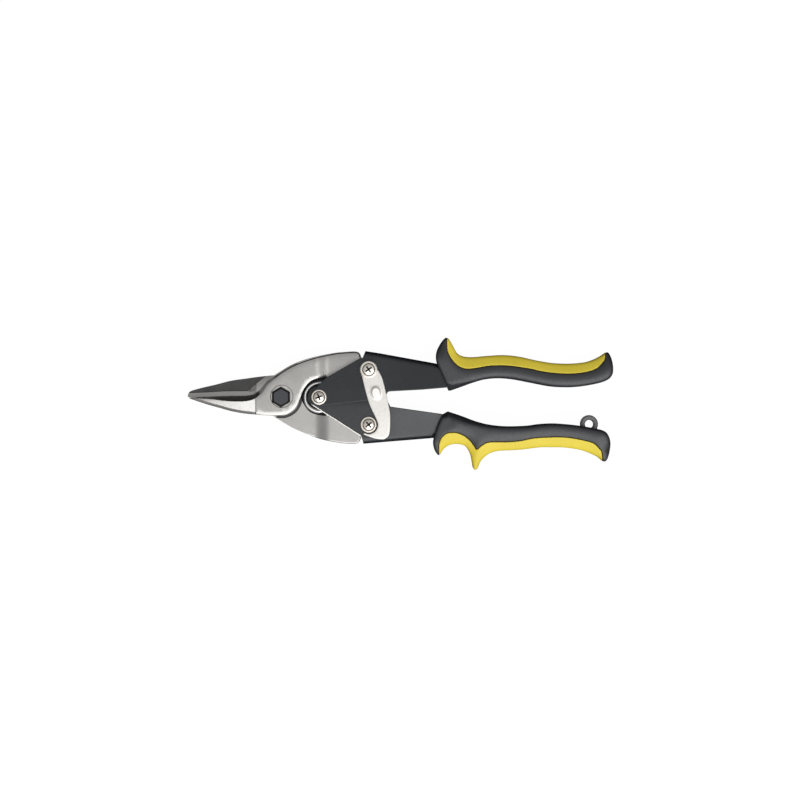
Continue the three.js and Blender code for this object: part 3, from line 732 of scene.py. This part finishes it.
def screw(name, centre, node, flange, head, flange_high, head_high, turn):
    """A washer-head screw with a cross recess. flange and head are radii, and the two heights stack."""
    low, high = levels(node)
    turn = math.radians(turn)
    seat = high - head_high - flange_high
    ring_start = head + HEAD_GAP
    radii = [SHANK, SHANK - 0.04, SHANK - SHANK_CHAMFER, head - 0.08, head, ring_start - 0.08, ring_start]
    radii += [ring_start + GAP_EASE, *(flange - FLANGE_EASE * ROUND_STEPS)]
    radii += [head * share for share in (0.92, 0.82, 0.7, 0.5)]
    lines = circles(centre, radii, 64)
    lines += [divided(cross(centre, CROSS_WIDTH - 2 * cut, CROSS_LENGTH - 2 * cut, turn), 0.5)
              for cut in (0, CROSS_SLANT)]
    flat, faces = triangulate(circle(centre, flange, 64), lines=lines, spacing=0.7)
    away = np.hypot(*(flat - centre).T)
    dome = head_high * (1 - DOME_DROP * (np.clip(away, 0, head) / head) ** DOME_POWER)
    ring = -rounding(flange - away, FLANGE_EASE) - rounding(away - ring_start, GAP_EASE)
    step = np.select([away < head - 0.01, away < ring_start - 0.01], [dome, -HEAD_GAP_DEEP], ring)
    top = seat + flange_high + step
    c, s = math.cos(turn), math.sin(turn)
    u, v = np.abs((flat - centre) @ np.array([(c, -s), (s, c)])).T
    in_arm = np.minimum(np.maximum(u - CROSS_LENGTH / 2, v - CROSS_WIDTH / 2),
                        np.maximum(v - CROSS_LENGTH / 2, u - CROSS_WIDTH / 2))
    deep = CROSS_DEEP - CROSS_RISE * np.clip(away, 0, 2.6)
    top -= deep * ramp(-in_arm, 0, CROSS_SLANT)
    end = low + SHANK_CHAMFER * ramp(away, SHANK - SHANK_CHAMFER, SHANK - 0.04)
    bottom = np.where(away < SHANK - 0.01, end, seat)
    made = slab(name, flat, faces, top, bottom, sharp=30)

    def choose(centres, _):
        # the cross recess and the groove round the head are painted black as shade
        out = np.hypot(*(centres[:, :2] - centre).T)
        above = centres[:, 2] > seat
        in_cross = (out < CROSS_LENGTH / 2) & (centres[:, 2] < high - BLACK_FROM)
        return above & (in_cross | (out > head) & (out < ring_start))

    return paint(made, [NICKEL, PAINTED_SHADE_STEEL], choose)


PLATED = "plated_steel"
place(pivot_bolt(), "far_blade_body", "black_oxide", "blade_pivot_bolt")
place(washer("pivot_washer", BLADE_PIVOT, PIVOT_HOLE, 6.5, *levels("blade_pivot_washer")),
      "far_blade_body", PLATED, "blade_pivot_washer")
place(nut("pivot_nut", BLADE_PIVOT, PIVOT_HEX, PIVOT_HOLE, *levels("blade_pivot_nut"), OXIDE),
      "far_blade_body", "black_oxide", "blade_pivot_nut")

FLANGE_HIGH = 0.7
# piece, centre, node, flange and head radii, height of the head, turn of the cross, body
SCREWS = [("handle_screw", HANDLE_PIVOT, "handle_pivot_screw", 4.5, 3.1, 1.4, 22, "lower_handle"),
          ("upper_tail_bolt", UPPER_TAIL, "upper_tail_screw", 5.0, 3.3, 1.1, 35, "upper_handle"),
          ("lower_tail_bolt", LOWER_TAIL, "lower_tail_screw", 4.8, 3.2, 1.2, 40, "lower_handle")]
for name, centre, node, flange, head, head_high, turn, body in SCREWS:
    place(screw(name, centre, node, flange, head, FLANGE_HIGH, head_high, turn), body, PLATED, node)

RINGS = [("handle_pivot_bush", HANDLE_PIVOT, 5.5, "lower_handle"),
         ("upper_tail_spacer_front", UPPER_TAIL, 5.5, "upper_handle"),
         ("upper_tail_spacer_back", UPPER_TAIL, 5.5, "upper_handle"),
         ("latch_washer", UPPER_TAIL, 4.8, "upper_handle"),
         ("lower_tail_washer_front", LOWER_TAIL, 5.5, "lower_handle"),
         ("lower_tail_washer_back", LOWER_TAIL, 5.5, "lower_handle")]
for node, centre, outer, body in RINGS:
    low, high = levels(node)
    ring = washer(f"fine_{node}", centre, SHANK_HOLE, outer, low, high, min(0.25, (high - low) / 3))
    place(ring, body, PLATED, node)

for node, centre, body in (("handle_pivot_nut", HANDLE_PIVOT, "lower_handle"),
                           ("upper_tail_nut", UPPER_TAIL, "upper_handle"),
                           ("lower_tail_nut", LOWER_TAIL, "lower_handle")):
    place(nut(f"fine_{node}", centre, TAIL_NUT, SHANK_HOLE, *levels(node), NICKEL), body, PLATED, node)

# --- handles ---

SHEET = 1.8
BEND = 3.2  # outer radius of the bend into the web
INNER_BEND = 1.2
SHEET_EASE = 0.35  # rounding of the sheet's cut edges
PAINTED_HIGHLIGHT_WIDTH = 0.6  # width of the bright strip painted along one of them as its highlight
CHEEK_GAP = 0.03  # keeps the cheek's faces off the wall's
LEAN_FROM = 4  # distance from the middle line where the lean starts
LEAN_CHANGE = (56, 80)  # x where the lean goes from its first slope to its second
HANDLE_END = 104  # the channels end inside the grips

UPPER_BACK = [(49.7, 27.1), (58.2, 25.8), (91.3, 19.8), (100, 18), (HANDLE_END, 18)]
UPPER_HANDLE = {
    "loop": [(22.98, -5.2), arc(HANDLE_PIVOT, 5.2, -84, -225, 30), (26.2, 11.1), (46.7, 22.9), (47.9, 22.8),
             *UPPER_BACK, (HANDLE_END, 8), (97.2, 5.6), (83.1, 4.4), (64.2, 3.4),
             [(62.8, 2.9), (61.3, 0.6), (58.5, -1.2)]],
    "back": UPPER_BACK,
    "lean": (0.035, 0.09),
    "bare": [],
    "cheek": outline((34, 5), arc(HANDLE_PIVOT, 11.7, 64, 302, 60), (40, -3)),
}
LOWER_BACK = [(48.5, -27.5), (58.2, -26.7), (89.7, -24.1), (98, -22.6), (HANDLE_END, -23)]
LOWER_HANDLE = {
    "loop": [(22.98, 6.6), arc(HANDLE_PIVOT, 6.6, 84, 222, 30), (46.7, -23.1), (47.3, -23), *LOWER_BACK,
             (HANDLE_END, -13), (94.7, -9.9), (64.4, -5.6), [(63.2, -3.4), (61.5, -1), (58.5, 0.6)]],
    "back": LOWER_BACK,
    "lean": (0.05, 0.15),
    # the edge where a bright strip is painted as its highlight
    "bare": [(18.6, -5.1), (46.7, -23.1)],
    "cheek": [],
}


def channel(name, node, spec):
    """Two side walls and a web along the back. The walls lean in, by one slope at the nose and another near
    the grip. A bright steel strip is painted along one edge as its highlight."""
    low, high = levels(node)
    loop = outline(*spec["loop"])
    back = np.array(spec["back"], float)
    side = math.copysign(1, back[0, 1])
    inner = parallel(back, -side * SHEET)[0]
    before = inner[0] + (inner[0] - inner[1]) / np.linalg.norm(inner[0] - inner[1]) * 4
    inner = np.vstack([before, inner, inner[-1:] + (2, 0)])
    lines = rings(loop, [*SHEET_EASE * ROUND_STEPS, PAINTED_HIGHLIGHT_WIDTH])
    lines += rings(back, -side * BEND * ROUND_STEPS, False)
    lines += [inner, *parallel(inner, -side * INNER_BEND), *parallel(inner, -side * INNER_BEND / 3)]
    flat, faces = triangulate(loop, lines=lines, spacing=2)
    x, y = flat.T
    outer = high - rounding(distance(flat, closed(loop)), SHEET_EASE) - rounding(distance(flat, back), BEND)
    nose_lean, grip_lean = spec["lean"]
    lean = nose_lean + (grip_lean - nose_lean) * ease(x, *LEAN_CHANGE)
    lean = lean * np.clip(side * y - LEAN_FROM, 0, None)
    under = high - SHEET - lean - rounding(distance(flat, inner), INNER_BEND)
    outer = outer - lean
    centre = flat[faces].mean(1)
    in_web = side * (centre[:, 1] - np.interp(centre[:, 0], *inner.T)) > 0
    sheet = faces[~in_web]
    count = len(flat)
    points = np.vstack([np.column_stack([flat, height])
                        for height in (outer, under, 2 * MID - under, 2 * MID - outer)])
    solid = [*faces, *(faces[:, ::-1] + 3 * count), *(sheet[:, ::-1] + count), *(sheet + 2 * count)]
    outer_rim = rim_edges(faces)
    sheet_rim = set(rim_edges(sheet))
    for a, b in outer_rim:
        if (a, b) in sheet_rim:
            for n in (0, 2 * count):
                solid.append((a + n, a + n + count, b + n + count, b + n))
        else:
            solid.append((a, a + 3 * count, b + 3 * count, b))
    for a, b in sheet_rim - set(outer_rim):
        solid.append((b + count, b + 2 * count, a + 2 * count, a + count))
    cheek = spec["cheek"]
    if len(cheek):
        flat, faces = triangulate(cheek, lines=rings(cheek, SHEET_EASE * ROUND_STEPS), spacing=2)
        drop = CHEEK_GAP + rounding(distance(flat, closed(cheek)), SHEET_EASE)
        cheek_points, cheek_faces = between(flat, faces, low + SHEET - drop, low + drop)
        solid += [np.array(face) + len(points) for face in cheek_faces]
        points = np.vstack([points, cheek_points])
    used, solid = renumbered(solid, len(points))
    made = mesh_object(name, points[used], solid, sharp=40)

    def choose(centres, _):
        # the strip along that edge gets the painted highlight
        return (distance(centres[:, :2], np.array(spec["bare"])) < PAINTED_HIGHLIGHT_WIDTH) & (centres[:, 2] > MID)

    return paint(made, [COAT, PAINTED_HIGHLIGHT_STEEL], choose if spec["bare"] else None)


for side, spec in (("upper", UPPER_HANDLE), ("lower", LOWER_HANDLE)):
    node = f"{side}_handle_channel"
    place(channel(f"{side}_channel", node, spec), f"{side}_handle", "dark_coat", node)

# --- latch ---

LATCH_THICK = 1.4
LATCH_EASE = 0.55
FOOT_CURVE, FOOT_FROM = 0.0009, -5  # how the lower end of its face falls away, and from which y
FACE_SHARE = 0.75  # of the edge's rounding; the back has the rest
BOSS = {"centre": (55.9, 2.5), "half": (3.0, 4.2), "turn": 10, "rise": 0.85}
BOSS_FLAT = 0.7  # share of its radius where its slope starts
BOSS_FOOT = 0.5  # share of its rise at its lower end
BOSS_CLIMB = (-0.9, 0.6)  # where it climbs from there to its full rise
BOSS_BEHIND = 0.45  # share of its rise on the plate's back


def latch():
    low, _ = levels("latch_plate")
    high = low + LATCH_THICK
    loop = outline((47.7, 12.1), (46.5, 14.9), arc(UPPER_TAIL, 5.15, 190, 0, 36),
                   [(57.6, 15), (59.4, 11.6), (60.8, 6.7), (62, 1.4), (63.1, -3.5), (64.1, -9.1),
                    (64.3, -13.7), (64.1, -19.3), (63.3, -22.6), (61.4, -24.4), (59.2, -24.8),
                    (55.6, -24.4), (51.8, -23.2), (48.7, -22)],
                   arc(LOWER_TAIL, 5.4, -122, 15, 30),
                   [(55.6, -11.8), (53.7, -8), (51.8, -3.5), (49.9, 2.9), (48.6, 8.1), (47.7, 12.1)],
                   spacing=1)
    turn = math.radians(BOSS["turn"])
    axes = np.array([(math.cos(turn), math.sin(turn)), (-math.sin(turn), math.cos(turn))])
    oval = circle((0, 0), 1, 48) * BOSS["half"]
    lines = rings(loop, LATCH_EASE * ROUND_STEPS)
    shares = (1, 0.9, 0.8, 0.7, 0.6, 0.5, 0.35, 0.2)
    lines += [closed(oval * share @ axes + BOSS["centre"]) for share in shares]
    flat, faces = triangulate(loop, lines=lines, spacing=1)
    from_boss = (flat - BOSS["centre"]) @ axes.T / BOSS["half"]
    off = np.linalg.norm(from_boss, axis=1)
    along = from_boss[:, 1]
    drop = rounding(distance(flat, closed(loop)), LATCH_EASE)
    boss = BOSS["rise"] * (1 - ease(off, BOSS_FLAT, 1))
    boss *= BOSS_FOOT + (1 - BOSS_FOOT) * ramp(along, *BOSS_CLIMB)
    top = high - FACE_SHARE * drop + boss - FOOT_CURVE * np.clip(FOOT_FROM - flat[:, 1], 0, None) ** 2
    bottom = low + (1 - FACE_SHARE) * drop + BOSS_BEHIND * boss
    return paint(slab("latch_lever", flat, faces, top, bottom, sharp=50), [BRIGHT])


place(latch(), "latch", "bright_plate", "latch_plate")

# --- spring ---

WIRE = 2.4
COIL = 8.35
COIL_RISE = 1.95
TURNS = 1.5


def swept(name, path, radius, sides=14):
    """A round wire along a path, with rounded ends."""
    along = np.gradient(path, axis=0)
    along /= np.linalg.norm(along, axis=1)[:, None]
    across = np.cross(along, (0, 0, 1.0))
    across /= np.linalg.norm(across, axis=1)[:, None]
    up = np.cross(across, along)
    angle = np.linspace(0, 2 * np.pi, sides, endpoint=False)
    ends = [(-1.0, 0.45), (-0.75, 0.85)]
    stations = [(0, lift, share) for lift, share in ends]
    stations += [(i, 0, 1) for i in range(len(path))]
    stations += [(len(path) - 1, -lift, share) for lift, share in reversed(ends)]
    points = []
    for i, lift, share in stations:
        centre = path[i] + along[i] * lift * radius * 0.5
        points += [centre + radius * share * (math.cos(a) * across[i] + math.sin(a) * up[i]) for a in angle]
    faces = []
    for row in range(len(stations) - 1):
        for k in range(sides):
            a, b = row * sides + k, row * sides + (k + 1) % sides
            faces.append((a, a + sides, b + sides, b))
    faces.append(tuple(range(sides)))
    faces.append(tuple(range(len(points) - 1, len(points) - sides - 1, -1)))
    return mesh_object(name, points, faces, sharp=50)


def spring():
    cx, cy = HANDLE_PIVOT
    start_level = MID + COIL_RISE
    leg = [(47.4, 7.7, start_level - 0.9), (40, 8.1, start_level - 0.6), (30, COIL, start_level - 0.1)]
    steps = 66
    share = np.linspace(0, 1, steps + 1)
    angle = math.radians(90) + 2 * math.pi * TURNS * share
    coil = np.column_stack([cx + COIL * np.cos(angle), cy + COIL * np.sin(angle),
                            MID + COIL_RISE * (1 - 2 * share)])
    far_leg = [(x, -y, 2 * MID - z) for x, y, z in reversed(leg)]
    start = divided(np.array([*leg, coil[0]], float), 1.2)[:-1]
    end = divided(np.array([coil[-1], *far_leg], float), 1.2)[1:]
    return paint(swept("handle_spring", np.vstack([start, coil, end]), WIRE / 2), [SPRING])


opening_spring = spring()
centre = Vector((*HANDLE_PIVOT, MID)) * MM
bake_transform(opening_spring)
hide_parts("opening_spring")

# --- grips ---

GRIP_LOW, GRIP_HIGH = levels("upper_grip_core")
SEAM = 0.12  # half the gap between core and pad
SEAM_EASE = 0.5
INNER_CROWN = (3.2, 0.19)  # width and curve of the fall-off towards the other handle
OUTER_CROWN = (11.0, 0.042)  # and of the one on the side away from it
PAD_SLOPE = 6  # the outer fall-off is straight from here on
EDGE_ROUND = 1.3
FLARE_SLOPE = 1.2  # the draft on the collar's side, below its face
LEAST_HALF = 3.5  # least half thickness
MOUTH_KEEP = 0.75  # how much of the fall-off is left out at the mouth
MOUTH_REACH = (1.5, 12)  # distances from the mouth over which it comes back
SOFT_REACH = (0.2, 3)  # distances from the edge over which the softened height takes over
WAIST = (0.8, 96, 122)  # how much thinner each half gets behind the mouth, and between which x
SWELL = (0.5, 165, 190)  # and how much thicker again towards its end

INNER_COUNT = 8 * 14  # points of a grip's border on the side towards the other handle

UPPER_GRIP = {
    "outer": [(98.5, 3.8), (99.8, 3.8),
              [(105.8, 5.9), (113, 8.5), (120, 10.4), (128, 11.1), (136.6, 10.4), (146.7, 8.5), (157.8, 6.4),
               (166, 5.8), (175, 6.1), (186, 8), (192, 10.2), (194.7, 13.2), (195.2, 17.5), (194.4, 22.5),
               (192.9, 25.8), (191.3, 26.3), (188.6, 24.5), (184.1, 22.2), (178.5, 20.5), (170, 19.7),
               (160, 20), (150, 21.6), (140, 23.8), (131, 24.7), (122, 24.3), (112, 23.5), (106.6, 24.1),
               (103.5, 26), (101.2, 30), (98.9, 33.9), (97.3, 34.9), (95.9, 34.2), (93.6, 31.2),
               (91.5, 26.5), (91.4, 21.5), (93.4, 16.2), (95.9, 10.5), (98.5, 3.8)]],
    "pad": [(97.9, 42), (97.5, 30), (98.6, 25.3), (100.9, 21.5), (103.9, 18.5), (107.3, 16.9), (111, 16.6),
            (116, 17.3), (122, 18.3), (129.1, 18.6), (136.6, 18.1), (146.7, 16.6), (152.1, 15.3), (160, 14.2),
            (169, 13.7), (176.6, 14.3), (182.2, 15.5), (186, 17.3), (189, 20.4), (190.5, 23.4), (191.4, 34)],
    "mouth": [(91.6, 19.5), (93.4, 16.2), (95.9, 10.5), (98.2, 4.5)],
    "flare": ((97, 103, 117), (4.8, 3, 0)),
}
LOWER_GRIP = {
    "outer": [(95.5, -9.9), (98.3, -8.4),
              [(106.6, -11.2), (114, -14), (121.6, -16), (129.1, -17), (136.6, -17.2), (145.4, -16.8),
               (152.1, -15.9), (159.7, -15.5), (167.1, -15.9), (175.5, -16.8), (184, -18.3), (189.7, -19.8),
               (192.4, -22.5), (193.7, -27), (193.3, -32), (191.8, -36.6), (190.2, -37.9), (188.6, -37.1),
               (186, -35), (180.4, -32.5), (174.7, -30.8), (167.1, -29.7), (159.7, -29.5), (152.1, -29.6),
               (142.3, -30.8), (134.8, -31.3), (128.4, -31.6), (123.5, -32.8), (119.7, -35.2), (117.1, -38.4),
               (115.7, -41.6), (114.4, -42.8), (113, -41.6), (112.3, -38), (111.5, -34.1), (109.9, -30.7),
               (107.7, -28.5), (103.9, -27.6), (100.1, -27.9), (97.1, -29.3), (94.9, -31.5), (93.7, -33.6),
               (92.6, -34.1), (91.1, -32.6), (89.9, -29.6), (89.6, -25.8), (91.1, -19.8), (93, -14.9),
               (95.5, -9.9)]],
    "pad": [(93.2, -46), (92.8, -30), (93.2, -26.6), (94.5, -23.6), (97.1, -21.4), (100.1, -20.8),
            (103.9, -21.1), (107.7, -22.8), (111, -25.5), (113.3, -28.5), (115, -30.7), (117.8, -28.5),
            (121.6, -26.6), (127.3, -26.3), (132.9, -26.3), (140.4, -25.7), (148.4, -24.1), (155.9, -23.6),
            (163.4, -23.4), (170.9, -24), (178.5, -25.5), (183.4, -27), (186.7, -30), (188.6, -33.4),
            (189, -46)],
    "mouth": [(89.9, -24), (91.1, -19.8), (93, -14.9), (95.2, -10.4)],
    "flare": ((95, 100, 108, 121, 140), (2.2, 3, 3, 1.6, 0)),
}


def crown(x):
    """Half a grip's thickness along its middle."""
    full = (GRIP_HIGH - GRIP_LOW) / 2
    return full - WAIST[0] * ease(x, *WAIST[1:]) + SWELL[0] * ease(x, *SWELL[1:])


def fall_off(gap, width, curve, straight=99.0):
    """How far the face has dropped at this gap from the edge: a parabola, then a straight slope."""
    reach = np.clip(width - gap, 0, width)
    bent = np.minimum(reach, straight)
    return curve * bent**2 + 2 * curve * straight * (reach - bent)


def grip(side, spec):
    loop = outline(*spec["outer"])
    seam = smooth(spec["pad"])
    mouth = np.array(spec["mouth"], float)
    border = smooth(spec["outer"][2])
    inner, outer = np.vstack([spec["outer"][:2], border[:INNER_COUNT]]), border[INNER_COUNT:]
    lines = [*rings(loop, [0.1, 0.3, 0.7, 1.3, 2.4, 3.5]), seam]
    lines += parallel(inner[4:], np.interp(inner[4:, 0], *spec["flare"]) + 0.01)
    for gap in (0, 0.06, 0.16, 0.3, SEAM_EASE):
        lines += rings(seam, (SEAM + gap, -SEAM - gap), False)
    flat, faces = triangulate(loop, lines=lines, spacing=1.4)

    def height(points):
        at_mouth = 1 - ease(distance(points, mouth), *MOUTH_REACH)
        drop = fall_off(distance(points, inner), *INNER_CROWN)
        drop += fall_off(distance(points, outer), *OUTER_CROWN, PAD_SLOPE)
        return crown(points[:, 0]) - drop * (1 - MOUTH_KEEP * at_mouth)

    to_edge = distance(flat, closed(loop))
    soft = ease(to_edge, *SOFT_REACH)
    half = height(flat) * (1 - soft) + softened(loop, height, flat) * soft
    collar = np.interp(flat[:, 0], *spec["flare"])
    half -= FLARE_SLOPE * np.clip(collar - distance(flat, inner), 0, None)
    half = np.maximum(half, LEAST_HALF) - rounding(to_edge, EDGE_ROUND)
    to_seam = distance(flat, seam)
    half -= np.where(to_seam < SEAM / 2, 2 * SEAM_EASE, rounding(to_seam - SEAM, SEAM_EASE))
    centres = flat[faces].mean(1)
    in_pad = inside(centres, seam) & (distance(centres, seam) > SEAM)
    for part, chosen, finish, slot in (("core", ~in_pad, CHARCOAL, "charcoal_grip"),
                                       ("pad", in_pad, YELLOW, "yellow_grip")):
        made = slab(f"{side}_handgrip_{part}", flat, faces[chosen], MID + half, MID - half, sharp=50)
        place(paint(made, [finish]), f"{side}_handle", slot, f"{side}_grip_{part}")


grip("upper", UPPER_GRIP)
grip("lower", LOWER_GRIP)

# --- hanging loop ---

LOOP_EYE = 2.45
LOOP_EASE = 1.4
LOOP_OUTER = 5.3
LOOP_X = 181.4


def hanging_loop():
    low, high = levels("hanging_loop")
    corner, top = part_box("hanging_loop")
    centre = np.array([LOOP_X, top.y / MM - LOOP_OUTER])
    loop = outline((corner.x / MM, corner.y / MM), arc(centre, LOOP_OUTER, 205, -25, 40),
                   (top.x / MM, corner.y / MM), spacing=1)
    hole = circle(centre, LOOP_EYE, 48)
    gaps = LOOP_EASE * ROUND_STEPS
    lines = [*rings(loop, gaps), *circles(centre, LOOP_EYE + gaps, 48)]
    flat, faces = triangulate(loop, [hole], lines, 0.9)
    to_edge = np.minimum(distance(flat, closed(loop)), distance(flat, closed(hole)))
    drop = rounding(to_edge, LOOP_EASE)
    return paint(slab("hanging_eye", flat, faces, high - drop, low + drop, sharp=50), [LOOP_PLASTIC])


place(hanging_loop(), "lower_handle", "loop_plastic", "hanging_loop")

# --- floor, lights and camera ---

FLOOR_GLOW = 0.98
BRIGHT_SIDE = (0.25, -0.55, 0.8)
VIEW_CENTRE = (70.0, -1.7)
CAMERA_HEIGHT = 1780
LENS = 135
LIT_POINT = (0.07, 0, 0)  # metres: the middle of the tool
WORLD_GLOW = (0.06, 0.8)  # away from the bright side, and on it
GLOW_SPAN = (-0.5, 1)  # cosines of the angle to the bright side between which it rises
HORIZON = 0.2  # share of that glow left at the horizon
HORIZON_TOP = 0.4  # sine of the angle above the horizon where all of it is there
KEY_PLACE, KEY_SIZE, KEY_POWER = (0.6, -1.15, 1.6), (2.5, 2.4), 38  # metres and watts
FLOOR_LEVEL = -0.0004  # metres: just under the tool


def floor():
    side = 2.5
    mesh = bpy.data.meshes.new("floor")
    corners = [(-side, -side, 0), (side, -side, 0), (side, side, 0), (-side, side, 0)]
    mesh.from_pydata(corners, [], [(0, 1, 2, 3)])
    made = added("floor", mesh)
    made.location = (VIEW_CENTRE[0] * MM, 0, FLOOR_LEVEL)
    n = Nodes("pale_floor")
    glow = n.mix(n.span(n.noise(3, 3), 0, 1), grey(1), grey(0.98))
    made.data.materials.append(n.finish(Base_Color=grey(0.04), Roughness=1.0, Emission_Color=glow,
                                        Emission_Strength=FLOOR_GLOW))
    made.visible_diffuse = False
    made.visible_glossy = False


def key_light():
    lamp = bpy.data.lights.new("key", "AREA")
    lamp.shape = "RECTANGLE"
    lamp.size, lamp.size_y = KEY_SIZE
    lamp.energy = KEY_POWER
    made = added("key", lamp)
    made.location = KEY_PLACE
    made.rotation_euler = (Vector(LIT_POINT) - Vector(KEY_PLACE)).to_track_quat("-Z", "Y").to_euler()


def camera():
    made = added("camera", bpy.data.cameras.new("camera"))
    made.data.lens = LENS
    made.location = (VIEW_CENTRE[0] * MM, VIEW_CENTRE[1] * MM, CAMERA_HEIGHT * MM)
    bpy.context.scene.camera = made


def surroundings():
    """Light from all round: brightest high up on the lower handle's side, and dim near the horizon."""
    world = bpy.data.worlds.new("studio")
    world.use_nodes = True
    tree = world.node_tree
    direction = tree.nodes.new("ShaderNodeTexCoord").outputs["Generated"]

    def node(kind, operation, *inputs):
        made = tree.nodes.new(kind)
        if operation:
            made.operation = operation
        for socket, value in zip(made.inputs, inputs):
            if isinstance(value, bpy.types.NodeSocket):
                tree.links.new(value, socket)
            else:
                socket.default_value = value
        return made.outputs

    toward = node("ShaderNodeVectorMath", "DOT_PRODUCT", direction, Vector(BRIGHT_SIDE).normalized())["Value"]
    up = node("ShaderNodeSeparateXYZ", None, direction)["Z"]
    glow = node("ShaderNodeMapRange", None, toward, *GLOW_SPAN, *WORLD_GLOW)[0]
    lift = node("ShaderNodeMapRange", None, up, 0, HORIZON_TOP, HORIZON, 1)[0]
    strength = node("ShaderNodeMath", "MULTIPLY", glow, lift)[0]
    tree.links.new(strength, tree.nodes["Background"].inputs["Strength"])
    tree.nodes["Background"].inputs["Color"].default_value = (1, 1, 1, 1)
    bpy.context.scene.world = world
    bpy.context.scene.view_settings.view_transform = "Standard"


floor()
surroundings()
key_light()
camera()
